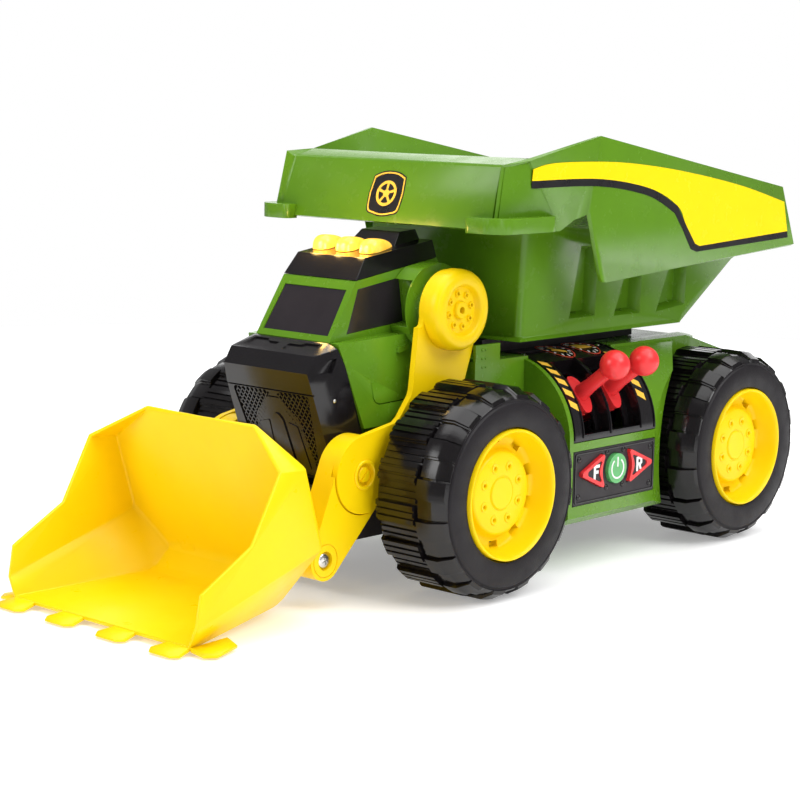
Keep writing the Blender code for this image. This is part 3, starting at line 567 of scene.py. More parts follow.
def rim_piece(name, side, centre):
    """Dished yellow rim: a lip, a deep barrel with slots at its foot, and a hub with eight bosses."""
    lip = 38.05
    profile = [
        (0, 107.2), (8.8, 107.2), (9.2, 106.8), (9.5, 106.1), (10.1, 106.1), (10.4, 106.5), (22.6, 106.5),
        (23.8, 106.1), (24.5, 105.0), (24.9, 102.6), (25.6, 101.6), (27.0, 101.0), (31.0, 101.0),
        (32.4, 101.6), (33.4, 103.0), (35.2, 111.5), (35.8, 114.2), (36.4, 115.6), (37.0, RIM_LIP),
        (37.6, RIM_LIP - 0.1), (lip, RIM_LIP - 0.8), (lip, 64), (35.4, 64), (35.4, 92), (29, 98.5), (8, 98.5),
        (8, 64), (3.35, 64), (3.35, 98.9), (0, 98.9),
    ]
    rim = turned(name, profile, centre, side, 96)
    slots = []
    for slot in range(10):
        bm = box_mesh((97, 112), (28.6, 32.4), (-3.6, 3.6))
        bm.transform(Matrix.Rotation(math.radians(36 * slot + 18), 4, "X"))
        bm.transform(Matrix.Translation((0, *centre)) @ Matrix.Scale(side, 4, (1, 0, 0)))
        slots.append(bm)
    cut(rim, gather("slots", slots))
    bosses, holes = [], []
    for boss in range(8):
        spot = polar(centre, 16.2, 45 * boss + 22.5)
        ring = [(2.9, 106.0), (2.9, 106.9), (2.6, 107.2), (1.7, 107.2), (1.4, 107.0), (1.2, 106.3),
                (1.2, 106.0)]
        bosses.append(turned_mesh(ring, spot, side, 20))
        holes.append(turned_mesh([(0, 110), (1.25, 110), (1.0, 104.2), (0, 104.2)], spot, side, 12))
    cut(rim, gather("holes", holes))
    return rim, gather(name.replace("rim", "bosses"), bosses)


def wheels():
    """Four treaded tyres on dished rims. The rear pair rides on one axle."""
    phase = math.pi * 2 * 0.32 / (TREAD_BLOCKS * RIBS) + math.pi / 2
    for end, y in (("front", 0.0), ("rear", REAR_Y)):
        for name, side in SIDES:
            body = f"front_wheel_{name}" if end == "front" else "rear_wheels"
            bm = tyre_mesh(side, phase)
            bm.transform(Matrix.Translation((0, y, WHEEL_Z)))
            tyre = placed(f"{end}_tyre_{name}_treaded", bm)
            tyre.data.materials.append(TREAD)
            tyre.data.materials.append(SIDEWALL)
            dress(tyre, body, TREAD, [f"{end}_tyre_{name}"], 34)
            rim, bosses = rim_piece(f"{end}_rim_{name}_moulded", side, (y, WHEEL_Z))
            dress(rim, body, YELLOW, [f"{end}_rim_{name}"], 40)
            dress(bosses, body, YELLOW, smooth=40)
            # A charcoal fill inside each rim's barrel: painted shade that makes the rim's slots read
            # near-black.
            shade_fill_profile = [(34.6, 66), (34.6, 90), (34.0, 91.5), (28.4, 96.8), (8.6, 97.8), (8.6, 66)]
            shade_fill = turned(f"{end}_rim_shade_fill_{name}", shade_fill_profile, (y, WHEEL_Z), side, 48)
            dress(shade_fill, body, CHARCOAL)


# ---------------------------------------------------------------- loader

SHOULDER = (9.0, 163.0)
ELBOW = (-61.5, 73.5)
BUCKET_PIVOT = (-91.3, 28.2)
ARM_X = (53.2, 57)
LINK_X = (41, 56)
ELBOW_BORE = 3.35


def loader_arms():
    """Two thin cranked boom plates with a collar and a slotted pin at the elbow."""
    outline = [
        *arc(SHOULDER, 23.2, -20, 188, 48), (-14.9, 155.4), (-16.2, 154.2), (-18.4, 153.8), (-22.6, 118.0),
        (-23.8, 114.8), (-33.0, 103.2), (-36.6, 100.6), *arc(ELBOW, 22.5, 104, 300, 40), (-34, 58), (8, 92),
        (22.3, 118), (30.2, 140),
    ]
    for name, side in SIDES:
        arm = plate("arm_" + name, outline, *span(side, *ARM_X))
        cut(arm, rod("recess", 6.4, *span(side, 55.0, 60), ELBOW),
            rod("bore", 4.35, *span(side, 40, 60), SHOULDER),
            rod("bore", ELBOW_BORE, *span(side, 40, 60), ELBOW))
        soften(arm, 1.2, 3)
        dress(arm, "loader_boom", YELLOW, ["loader_arm_" + name])
        ring = [(8.6, 56.8), (8.6, 57.6), (8.1, 58.1), (7.2, 58.1), (6.8, 57.7), (6.6, 56.8)]
        collar = turned("elbow_collar_" + name, ring, ELBOW, side, 48)
        dress(collar, "loader_boom", YELLOW, smooth=40)
        pin_profile = [(0, 56.8), (4.0, 56.8), (4.5, 56.3), (4.5, 55.3), (3.0, 55.3), (3.0, 41.5), (0, 41.5)]
        pin = turned("elbow_pin_" + name + "_slotted", pin_profile, ELBOW, side, 40)
        slot = box_mesh(span(side, 55.8, 58), (-5, 5), (-0.6, 0.6))
        cut(pin, placed("slot", turned_about(slot, ELBOW, 48)))
        dress(pin, "loader_boom", YELLOW, ["elbow_pin_" + name], 40)
        hub_cap(side)


def hub_cap(side):
    """The arm's round cap. The camera sees a tall one on the left; the one on the right is low."""
    if side < 0:
        profile = [(0, 60.2), (19.6, 60.2), (21.4, 59.8), (22.3, 58.8), (22.5, 57.3), (0, 57.3)]
        cap = turned("hub_cap_right_moulded", profile, SHOULDER, side, 96)
        cut(cap, turned("hole", [(0, 62), (2.0, 62), (2.0, 58.5), (0, 58.5)], SHOULDER, side, 24))
        dress(cap, "loader_boom", YELLOW, ["hub_cap_right"], 40)
        return
    profile = [
        (0, 64.4), (1.9, 64.4), (2.1, 66.2), (4.6, 66.2), (5.2, 65.6), (5.4, 64.0), (13.4, 64.0),
        (14.0, 64.6), (14.6, 66.8), (15.2, 67.6), (16.2, 68.0), (19.4, 68.0), (21.4, 67.5), (22.8, 66.4),
        (23.7, 64.6), (24.0, 62.0), (24.0, 57.3), (0, 57.3),
    ]
    cap = turned("hub_cap_left_moulded", profile, SHOULDER, side, 96)
    holes = [turned_mesh([(0, 70), (2.2, 70), (2.1, 58.2), (0, 58.2)], SHOULDER, side, 20)]
    bosses = []
    for boss in range(8):
        spot = polar(SHOULDER, 9.9, 45 * boss + 13.5)
        ring = [(2.0, 63.8), (2.0, 64.9), (1.7, 65.3), (1.2, 65.3), (1.0, 65.1), (0.95, 63.8)]
        bosses.append(turned_mesh(ring, spot, side, 16))
        holes.append(turned_mesh([(0, 66), (0.95, 66), (0.9, 58.4), (0, 58.4)], spot, side, 10))
    cut(cap, gather("holes", holes))
    dress(cap, "loader_boom", YELLOW, ["hub_cap_left"], 40)
    dress(gather("hub_bosses_left", bosses), "loader_boom", YELLOW, smooth=40)


def loader_links():
    """Two forearm links from the elbow to the bucket, relieved round the arm's elbow."""
    reach = Vector(BUCKET_PIVOT) - Vector(ELBOW)
    heading = math.degrees(math.atan2(reach.y, reach.x))
    outline = [*arc(ELBOW, 22, heading + 80, heading + 280, 48),
               *arc(BUCKET_PIVOT, 11.5, heading - 80, heading + 80, 32)]
    for name, side in SIDES:
        link = plate("link_" + name, outline, *span(side, *LINK_X))
        cut(link, rod("bore", ELBOW_BORE, *span(side, 30, 60), ELBOW),
            rod("bore", 2.35, *span(side, 30, 60), BUCKET_PIVOT),
            rod("recess", 5.4, *span(side, 53.5, 60), BUCKET_PIVOT),
            rod("relief", 23.2, *span(side, 52.7, 70), ELBOW, steps=96))
        groove = [(9.6, 57), (9.6, 55.4), (9.0, 55.4), (9.0, 57)]
        cut(link, turned("groove", groove, BUCKET_PIVOT, side, 48))
        soften(link, 1.1, 3)
        dress(link, "loader_forearm", YELLOW, ["loader_link_" + name])
        profile = [(0, 55.6), (1.6, 55.6), (3.2, 55.4), (4.4, 54.8), (4.8, 54.0), (2.0, 53.9), (2.0, 41.0),
                   (1.25, 41.0), (1.25, 31.2), (0, 31.2)]
        screw = turned("bucket_screw_" + name + "_cross", profile, BUCKET_PIVOT, side, 40)
        for turn in (20, 110):
            groove = box_mesh(span(side, 54.3, 57), (-2.6, 2.6), (-0.45, 0.45))
            cut(screw, placed("cross", turned_about(groove, BUCKET_PIVOT, turn)))
        dress(screw, "loader_bucket", STEEL, ["bucket_screw_" + name], 40)


def facet_shell(name, points, faces, thickness, bends=(), radius=1.2):
    """An open surface of flat facets, its bends rounded, thickened and mirrored. bends gives named
    edges their own radius."""
    bm = bmesh.new()
    verts = {key: bm.verts.new(Vector(place) * MM + SHIFT) for key, place in points.items()}
    for face in faces:
        bm.faces.new([verts[key] for key in face])
    weight = bm.edges.layers.float.new("bevel_weight_edge")
    largest = max([radius, *[size for _, _, size in bends]])
    for edge in bm.edges:
        if len(edge.link_faces) == 2 and edge.calc_face_angle() > 0.12:
            edge[weight] = radius / largest
    for one, two, size in bends:
        edge = bm.edges.get((verts[one], verts[two]))
        if edge:
            edge[weight] = size / largest
    obj = mesh_object(name, bm)
    mirror = obj.modifiers.new("other_side", "MIRROR")
    mirror.use_clip = True
    mirror.merge_threshold = 1e-5
    rounding = obj.modifiers.new("bends", "BEVEL")
    rounding.limit_method = "WEIGHT"
    rounding.width = largest * MM
    rounding.segments = 3
    rounding.use_clamp_overlap = True
    wall = obj.modifiers.new("wall", "SOLIDIFY")
    wall.solidify_mode = "NON_MANIFOLD"
    wall.nonmanifold_thickness_mode = "CONSTRAINTS"
    wall.thickness = thickness * MM
    wall.offset = 0
    return outward(bake(obj))


CHEEK_X = 78.4
FLOOR_FRONT_Y = -208.0


def bucket_back(z):
    """Where the bucket's flat back is at a height."""
    return -135.8 + (108.1 - z) * 0.30


def bucket():
    """Scoop with a flat back, chamfered lower corners, four fishtail teeth and a foot on each cheek."""
    points = {
        "lip": (44, -135.8, 108.1), "rear_top": (CHEEK_X, bucket_back(87), 87),
        "rear_mid": (CHEEK_X, bucket_back(44), 44), "heel": (52, bucket_back(22), 22), "sole": (52, -125, 9),
        "floor": (73, FLOOR_FRONT_Y, 3.6), "cheek_top": (CHEEK_X, -149.8, 88.8),
        "cheek_mid": (CHEEK_X, -169.7, 52.5), "cheek_low": (CHEEK_X, -205, 32.6),
        "crease_front": (CHEEK_X, FLOOR_FRONT_Y, 15),
    }
    for key in ("lip", "heel", "sole", "floor"):
        points[key + "_mid"] = (0, *points[key][1:])
    faces = [
        ("lip_mid", "lip", "rear_top", "rear_mid", "heel", "heel_mid"),
        ("heel_mid", "heel", "sole", "sole_mid"),
        ("sole_mid", "sole", "floor", "floor_mid"), ("rear_mid", "sole", "heel"),
        ("rear_mid", "crease_front", "floor", "sole"), ("lip", "cheek_top", "rear_top"),
        ("rear_top", "cheek_top", "cheek_mid", "cheek_low", "crease_front", "rear_mid"),
    ]
    bends = [("rear_top", "rear_mid", 3.0), ("rear_mid", "heel", 3.0), ("heel", "heel_mid", 5.0),
             ("sole", "sole_mid", 5.0)]
    scoop = facet_shell("bucket_moulded", points, faces, 2.2, bends, 1.5)
    soften(scoop, 0.7, 2, 35)
    bake(scoop)
    extras = []
    tooth_points = [(7.5, -203, 2.6), (7.5, -203, 4.6), (8, -210, 1.6), (8, -210, 4.2), (11.5, -217, 0.8),
                    (11.5, -217, 2.5), (8, -221, 0.9), (8, -221, 1.9)]
    foot_points = [(74, -182, 3.2), (74, -182, 5.4), (84, -184, 1.6), (84, -184, 3.4), (89.8, -203, 1.0),
                   (89.8, -203, 2.6), (85, -208.8, 0.9), (85, -208.8, 2.6), (74, -208, 1.8), (74, -208, 4.6)]
    for x in (-64.5, -21.5, 21.5, 64.5):
        tooth = hull_of("tooth", [(x + u, y, z) for u, y, z in both_sides(tooth_points)])
        extras.append(bake(soften(tooth, 0.5, 2)))
    for _, side in SIDES:
        foot = hull_of("foot", sided(foot_points, side))
        lug = [(-112.6, 20), *arc(BUCKET_PIVOT, 8.5, -110, 110, 24), (-112.6, 40)]
        lug = plate("lug", lug, *span(side, 30, 40.6), holes=[circle(BUCKET_PIVOT, 1.6, 20)])
        extras += [bake(soften(foot, 0.5, 2)), bake(soften(lug, 0.6, 2))]
    attach(scoop, *extras)
    dress(scoop, "loader_bucket", YELLOW, ["bucket"])


# ---------------------------------------------------------------- bed


PANEL_X = 93.8
FOLD_LEAN = 0.189
BED_HINGE, HINGE_BORE = (232.0, 134.5), 2.35


def wall_x(z):
    """The hopper's side leans out a little as it rises."""
    return 61.0 + (z - 140.2) / 72.0 * 2.0


def fold_y(z):
    """Where the side panel folds in towards the cab."""
    return 90.5 + (z - 218.5) * FOLD_LEAN


def bed_panel_x(y, z):
    """The side panel's distance from the middle, less where it folds in."""
    return PANEL_X - max(0.0, fold_y(z) - y) * 0.0855


def dump_bed():
    """The bed: hopper, side walls with hanging skirts, visor and its two tabs."""
    floor_z, ledge_z = 140.2, 212.0
    points = {
        "floor_front": (61, 68, floor_z), "floor_back": (61, 233.5, floor_z), "slope_end": (62.1, 291, 180),
        "tail": (62.4, 319, 190), "tail_side": (PANEL_X, 319, 190), "ledge_front": (63, 68, ledge_z),
        "peak": (PANEL_X, 99.1, 263.9), "rear_top": (PANEL_X, 302, 229), "skirt_top": (PANEL_X, 90.5, 218.5),
        "skirt_a": (PANEL_X, 101.6, 181.6), "skirt_b": (PANEL_X, 103.2, 177.6),
        "skirt_c": (PANEL_X, 105.4, 176.0), "skirt_d": (PANEL_X, 109.4, 175.8),
    }
    for key, y, z in (("ledge_side", 64, 209.5), ("brow_back", 38.8, 249.8), ("brow_front", 21.5, 246.4),
                      ("visor", 8.3, 210.4), ("notch", 76.5, 215.8)):
        points[key] = (bed_panel_x(y, z), y, z)
    for key in ("floor_front", "floor_back", "slope_end", "tail", "ledge_front", "brow_back", "brow_front",
                "visor"):
        points[key + "_mid"] = (0, *points[key][1:])
    faces = [
        ("floor_front_mid", "floor_front", "floor_back", "floor_back_mid"),
        ("floor_back_mid", "floor_back", "slope_end", "slope_end_mid"),
        ("slope_end_mid", "slope_end", "tail", "tail_mid"),
        ("floor_front_mid", "floor_front", "ledge_front", "ledge_front_mid"),
        ("ledge_front", "ledge_side", "notch"), ("ledge_front", "notch", "skirt_top"),
        ("ledge_front", "skirt_top", "tail_side", "tail"),
        ("ledge_front_mid", "ledge_front", "ledge_side", "brow_back", "brow_back_mid"),
        ("brow_back_mid", "brow_back", "brow_front", "brow_front_mid"),
        ("brow_front_mid", "brow_front", "visor", "visor_mid"),
        ("ledge_side", "brow_back", "brow_front", "visor"), ("ledge_side", "notch", "brow_back"),
        ("notch", "peak", "brow_back"), ("notch", "skirt_top", "peak"), ("skirt_top", "rear_top", "peak"),
        ("skirt_top", "tail_side", "rear_top"),
        ("skirt_top", "skirt_a", "skirt_b", "skirt_c", "skirt_d", "tail_side"),
    ]
    faces += hopper_side(points)
    bends = [("floor_front", "ledge_front", 9.0), ("brow_front", "visor", 8.0),
             ("brow_back", "brow_front", 3.0), ("floor_front", "floor_back", 4.0),
             ("floor_front", "floor_front_mid", 4.0),
             ("brow_front", "brow_front_mid", 2.0), ("brow_back", "brow_back_mid", 1.5)]
    bed = facet_shell("dump_bed_moulded", points, faces, 2.3, bends, 1.0)
    bake(soften(bed, 0.6, 2, 35))
    for _, side in SIDES:
        tab = [(72, 12), (72, 0.8), (91, 0.8), (100, 8), (98.5, 54), (91, 60), (85.5, 12)]
        tab = rounded(sided(tab, side), 4.5, 6)
        attach(bed, bake(soften(plate("tab", tab, 208.8, 217.6, view="top"), 1.2, 3)))
    knuckle = [*arc(BED_HINGE, 4.0, -200, 20, 24), (236, 140), (228, 140)]
    attach(bed, plate("knuckle", knuckle, -14, 14, holes=[circle(BED_HINGE, HINGE_BORE, 24)]))
    dress(bed, "tipping_bed", GREEN, ["dump_bed"])


def hopper_side(points):
    """The hopper's side wall with three tapered grooves pressed into it."""
    grooves = ((114, 142, 5.0, 9, 149.6), (160, 190, 6.0, 18, 148.2), (206, 240, 7.0, 20, 147.6))
    head, depth = 196.0, 8.0
    faces = []
    for n, (start, end, wide, lean, foot) in enumerate(grooves):
        top = start + lean
        for key, y, z, inset in (
            ("foot_start", start, foot, 0), ("foot_end", end, foot, 0), ("head_start", top, head, 0),
            ("head_end", end, head, 0), ("deep_foot_start", start + wide, foot + 3, depth),
            ("deep_foot_end", end - 3, foot + 3, depth), ("deep_head_start", top + wide - 2, head - 3, depth),
            ("deep_head_end", end - 3, head - 3, depth),
        ):
            if n == 2 and "foot_end" in key:
                z += 3
            points[f"{key}_{n}"] = (wall_x(z) - inset, y, z)
        corners = [f"foot_start_{n}", f"foot_end_{n}", f"head_end_{n}", f"head_start_{n}"]
        faces += [(a, b, "deep_" + b, "deep_" + a) for a, b in zip(corners, corners[1:] + corners[:1])]
        faces.append(tuple("deep_" + c for c in corners))
    faces += [
        ("floor_front", "foot_start_0", "head_start_0", "ledge_front"),
        ("foot_end_0", "foot_start_1", "head_start_1", "head_end_0"),
        ("foot_end_1", "foot_start_2", "head_start_2", "head_end_1"),
        ("floor_front", "foot_end_0", "foot_start_0"), ("floor_front", "foot_start_1", "foot_end_0"),
        ("floor_front", "floor_back", "foot_end_1", "foot_start_1"),
        ("floor_back", "foot_start_2", "foot_end_1"), ("floor_back", "foot_end_2", "foot_start_2"),
        ("floor_back", "slope_end", "foot_end_2"), ("foot_end_2", "slope_end", "head_end_2"),
        ("slope_end", "tail", "head_end_2"),
        ("ledge_front", "head_start_0", "head_end_0"), ("ledge_front", "head_end_0", "head_start_1"),
        ("ledge_front", "head_start_1", "head_end_1"), ("ledge_front", "head_end_1", "head_start_2"),
        ("ledge_front", "head_start_2", "head_end_2"), ("ledge_front", "head_end_2", "tail"),
    ]
    return faces


def on_panel(name, outline, lift, thickness, side):
    """A sticker of an outline (y, z), laid on the bed's side panel and bent where the panel bends."""
    bm = plate_mesh(outline, 0, thickness)
    slice_mesh(bm, (0, fold_y(0), 0), (0, 1, -FOLD_LEAN))
    for vert in bm.verts:
        vert.co.x = side * (bed_panel_x(vert.co.y, vert.co.z) + 1.15 + lift + vert.co.x)
    return placed(name, bm)


def smooth_run(points, steps=8):
    """A curve through the points (Catmull-Rom), open."""
    run = []
    for i in range(len(points) - 1):
        p0 = Vector(points[max(i - 1, 0)])
        p1, p2 = Vector(points[i]), Vector(points[i + 1])
        p3 = Vector(points[min(i + 2, len(points) - 1)])
        for step in range(steps):
            t = step / steps
            run.append(tuple(0.5 * (2 * p1 + (p2 - p0) * t + (2 * p0 - 5 * p1 + 4 * p2 - p3) * t * t
                                    + (3 * p1 - p0 - 3 * p2 + p3) * t ** 3)))
    return run + [tuple(points[-1])]


def bed_stickers():
    """A plain sweep on each side panel and a shield with a wheel on the visor."""
    upper = smooth_run([(41, 245.0), (62, 248.4), (118, 248.0), (181, 242.0), (250, 231.2), (304, 219.0)])
    lower_back = [(309.5, 199.0), (206, 193.6)]
    lower_run = smooth_run([(201, 195.4), (190, 208), (180.5, 219.8), (150, 231.6), (99, 238.4), (40, 238.2)])
    yellow = upper + lower_back + lower_run
    border_upper = smooth_run([(180.5, 219.8), (150, 231.6), (99, 238.4), (40, 238.2)])
    border = [(39.5, 236.0), *border_upper[::-1], (190, 208), (201, 195.4), (206, 193.6), (309.5, 199.0),
              (310.6, 194.8), (203, 190.0), (196.5, 192.0), (186.6, 205.0), (177.2, 215.6)]
    border += smooth_run([(177.2, 215.6), (148, 227.2), (98, 234.0), (40, 233.8)])[1:]
    for name, side in SIDES:
        back = on_panel("side_sweep_border_" + name, border, 0.02, 0.16, side)
        dress(back, "tipping_bed", PRINT_BLACK)
        sweep = on_panel("side_sweep_" + name, yellow, 0.02, 0.22, side)
        dress(sweep, "tipping_bed", SWEEP_YELLOW)
    shield()


def shield():
    """A plain shield on the visor's sloping front, with a generic spoked wheel."""
    up = Vector((0, 21.5, 246.4)) - Vector((0, 8.3, 210.4))
    centre = Vector((0.4, 14.4, 227.1)) + plane_axes(up)[2] * 1.15

    def laid(name, outline, holes, lift, thickness, material):
        bm = plate_mesh(outline, lift, lift + thickness, view="top", holes=holes)
        dress(placed(name, in_plane(bm, centre, up)), "tipping_bed", material)

    outer = smooth_run([(-13.2, 11.0), (-7, 13.6), (0, 14.4), (7, 13.6), (13.2, 11.0)], 5)
    lower = [(14.4, 0), (13.0, -11.2), (7, -13.8), (0, -14.8), (-7, -13.8), (-13.0, -11.2), (-14.4, 0)]
    outer += smooth_run(lower, 5)
    scaled = lambda k: [(x * k, y * k) for x, y in outer]
    laid("badge_face", scaled(0.985), [], 0.02, 0.14, PRINT_BLACK)
    laid("badge_ring", scaled(0.93), [scaled(0.865)], 0.05, 0.2, PRINT_AMBER)
    spoke = [(2.2, -0.7), (6.4, -0.9), (6.4, 0.9), (2.2, 0.7)]
    laid("badge_wheel", circle((0, 0), 8.0), [circle((0, 0), 6.2)], 0.05, 0.2, PRINT_AMBER)
    laid("badge_hub", circle((0, 0), 2.4, 24), [], 0.05, 0.2, PRINT_AMBER)
    for number in range(5):
        laid(f"badge_spoke_{number + 1}", turned_run(spoke, 90 + 72 * number), [], 0.05, 0.2, PRINT_AMBER)


# ---------------------------------------------------------------- cab and nose

NOSE_LEAN = 21.0 / 53.0


def seam_y(z):
    """Where the black nose meets the green cab at a height."""
    return -65.0 + NOSE_LEAN * (146.0 - z)


def cab():
    """The cab: shell, shoulder bosses, door seam and grip, and three smoked panes."""
    upper = [(29.5, -42.4, 180), (30, -64.2, 146.2), (32, 24, 190.6), (32, 27, 150), (31, 27, 188)]
    lower = [(37, seam_y(146) + 1, 146), (39, seam_y(134), 134), (40.5, seam_y(96), 96), (43, -29, 97),
             (44, -11, 110.7), (42, -8.5, 149), (40, 27, 149), (40, 27, 104)]
    body = hull_of("cab_moulded", both_sides(upper))
    join(body, hull_of("lower", both_sides(lower)))
    boss = [(0, 52.8), (17.0, 52.8), (17.0, 46.0), (26.3, 46.0), (26.3, 31.6), (0, 31.6)]
    for _, side in SIDES:
        join(body, turned("boss", boss, SHOULDER, side, 96))
    inner_upper = [(27.2, -27, 200), (27.6, -59.5, 149.6), (27.6, -59.5, 140), (29.4, 22, 210),
                   (29.4, 24, 140)]
    inner_lower = [(34, seam_y(144) + 5, 144), (36.5, seam_y(134) + 4, 134), (37.5, seam_y(80) + 4, 80),
                   (40, -29, 80), (40.5, -13, 110), (39, -11, 146), (37, 24, 146), (37, 24, 80)]
    cut(body, hull_of("room", both_sides(inner_upper)), hull_of("room", both_sides(inner_lower)))
    over_roof = [(60, -60, 177.4), (60, 40, 193.4), (60, -60, 230), (60, 40, 230)]
    cut(body, hull_of("roof_clearance", both_sides(over_roof)), rod("bore", 4.35, -60, 60, SHOULDER))
    front = [(25.2, -45.7, 175.0), (-25.2, -45.7, 175.0), (-26.6, -62.0, 149.6), (26.6, -62.0, 149.6)]
    cut(body, slab("opening", front, 8, 12))
    pane = [(-41, 175.4), (-7, 180.6), (-2.5, 154.4), (-50.5, 150)]
    for _, side in SIDES:
        cut(body, plate("opening", pane, *span(side, 20, 45)))
    seam = [(-41.2, 127.0), (-38.6, 113.0), (-37.0, 110.8), (-34.4, 109.8), (-12.0, 111.0),
            (-12.0, 110.3), (-34.5, 109.1), (-37.4, 110.2), (-39.4, 112.8), (-42.0, 127.0)]
    for _, side in SIDES:
        cut(body, plate("seam", seam, *span(side, 41.0, 60)))
    soften(body, 0.7, 2)
    grip = rounded([(-20.5, 141.5), (-13.0, 142.8), (-13.0, 139.4), (-20.5, 138.1)], 0.8)
    for _, side in SIDES:
        attach(body, bake(soften(plate("grip", grip, *span(side, 41.0, 43.6)), 0.4)))
    dress(body, "chassis", GREEN, ["cab_shell"])
    glass = [(x * 0.995, y + 1.0, z - 0.65) for x, y, z in front]
    dress(soften(slab("windshield_pane", glass, 0.7, 0.7), 0.3), "chassis", GLASS, ["windshield"])
    for name, side in SIDES:
        window = soften(plate(f"window_{name}_pane", pane, *span(side, 28.6, 30.2)), 0.3)
        dress(window, "chassis", GLASS, ["window_" + name])


def cab_roof():
    """The black roof cap with its hump behind the lamps."""
    lift = 0.45
    outer = [(29.5, -42.4, 180 + lift), (32, 24, 190.6 + lift), (27.4, -33.1, 192.8), (28.5, 24, 201)]
    roof = hull_of("cab_roof_moulded", both_sides(outer))
    hump = [(19, 0.5, 196.6), (19, 24, 199), (15.5, 9, 205.6), (15.5, 23, 206.6)]
    join(roof, hull_of("hump", both_sides(hump)))
    inner = [(26.6, -37.8, 178), (29, 21.4, 186), (24.8, -30.5, 190.2), (25.5, 21.4, 198)]
    cut(roof, hull_of("room", both_sides(inner)))
    soften(roof, 1.3, 3)
    dress(roof, "chassis", BLACK, ["cab_roof"])


def beacons():
    """Three squared lamps, cut off along the roof's slope."""
    slope = (201 - 192.8) / (24 + 33.1)
    for name, x in (("left", 18.2), ("centre", -1.0), ("right", -20.2)):
        bm = bmesh.new()
        bmesh.ops.create_uvsphere(bm, u_segments=40, v_segments=24, radius=1)
        for vert in bm.verts:
            px, py, pz = vert.co
            back = 17.5 if py > 0 else 6.8
            narrow = 1 - 0.45 * max(0.0, py)
            vert.co = (x + signed_power(px, 0.7) * 6.5 * narrow, -18 + py * back,
                       194.6 + signed_power(pz, 0.7) * 8.3)
        slice_mesh(bm, (0, -33.1, 193.2), Vector((0, slope, -1)).normalized(), clear_outer=True)
        bmesh.ops.holes_fill(bm, edges=[e for e in bm.edges if e.is_boundary])
        lens = placed(f"beacon_lens_{name}_lit", bm)
        dress(lens, "chassis", AMBER, ["beacon_lens_" + name], 50)


def plane_axes(up):
    """Across, up and outward on a sloping plane that faces forward."""
    across, up = Vector((1, 0, 0)), Vector(up).normalized()
    out = across.cross(up).normalized()
    return across, up, -out if out.y > 0 else out


def in_plane(bm, origin, up):
    """Lays a mesh of (across, along, out) on the sloping plane through origin."""
    across, up, out = plane_axes(up)
    for vert in bm.verts:
        vert.co = Vector(origin) + across * vert.co.x + up * vert.co.y + out * vert.co.z
    return bm


def laid_on(name, outline, low, high, origin, up):
    """A flat outline that stands from low to high on a sloping plane."""
    return placed(name, in_plane(plate_mesh(outline, low, high, view="top"), origin, up))


FACE_FOOT, FACE_UP = (0, -63.0, 66.0), (0, -19.6, 53.8)
HOOD_FOOT, HOOD_UP = (0, -80.4, 140.0), (0, 15.05, 6.0)


def nose():
    """The leaning black nose with a sunk grille panel and two hood vents."""
    outer = [(30, seam_y(146) - 0.35, 146), (37, seam_y(144) - 0.35, 143.5), (39.3, seam_y(134) - 0.35, 134),
             (33.9, -80.4, 140), (34.2, -85.8, 130.5), (35.2, -82.6, 119.8), (39.3, -73.5, 128.3),
             (36, -63, 66), (39, -51.4, 66), (37.5, seam_y(66) - 0.35, 66)]
    body = hull_of("nose_moulded", both_sides(outer))
    inner = [(28, -58, 143.2), (34, -56, 136), (36.6, -54, 128), (31.4, -77.0, 137.0), (31.8, -82.0, 130),
             (32.2, -78.8, 119.6), (36.6, -71, 126), (33.2, -59.6, 68.5), (36.2, -50.6, 68.5),
             (34, -30, 68.5), (28, -50, 143.2), (36.6, -40, 128)]
    cut(body, hull_of("room", both_sides(inner)))
    panel = rounded([(-24.5, 0.5), (24.5, 0.5), (31.0, 54.6), (-31.0, 54.6)], 3.0)
    cut(body, laid_on("panel", panel, -1.4, 8, FACE_FOOT, FACE_UP))
    for _, side in SIDES:
        vent = [(4.0, 4.2), (28, 4.2), (26.5, 13.5), (15, 13.5), (13.5, 11.0), (4.0, 11.0)]
        vent = rounded(sided(vent, side), 1.0)
        cut(body, laid_on("vent", vent, -0.9, 6, HOOD_FOOT, HOOD_UP))
        notch = [(36.6, -90, 137.5), (36.6, -66, 137.5), (44, -90, 141), (44, -66, 141),
                 (36.0, -90, 130.5), (36.0, -71, 130.5), (44, -90, 129.4), (44, -71, 129.4)]
        cut(body, hull_of("notch", sided(notch, side)))
    groove = [(-36.5, 54.9), (36.5, 54.9), (36.5, 55.9), (-36.5, 55.9)]
    cut(body, laid_on("groove", groove, -0.8, 8, FACE_FOOT, FACE_UP))
    soften(body, 1.2, 3)
    dress(body, "chassis", BLACK, ["nose_grille"])
    grille_mesh()


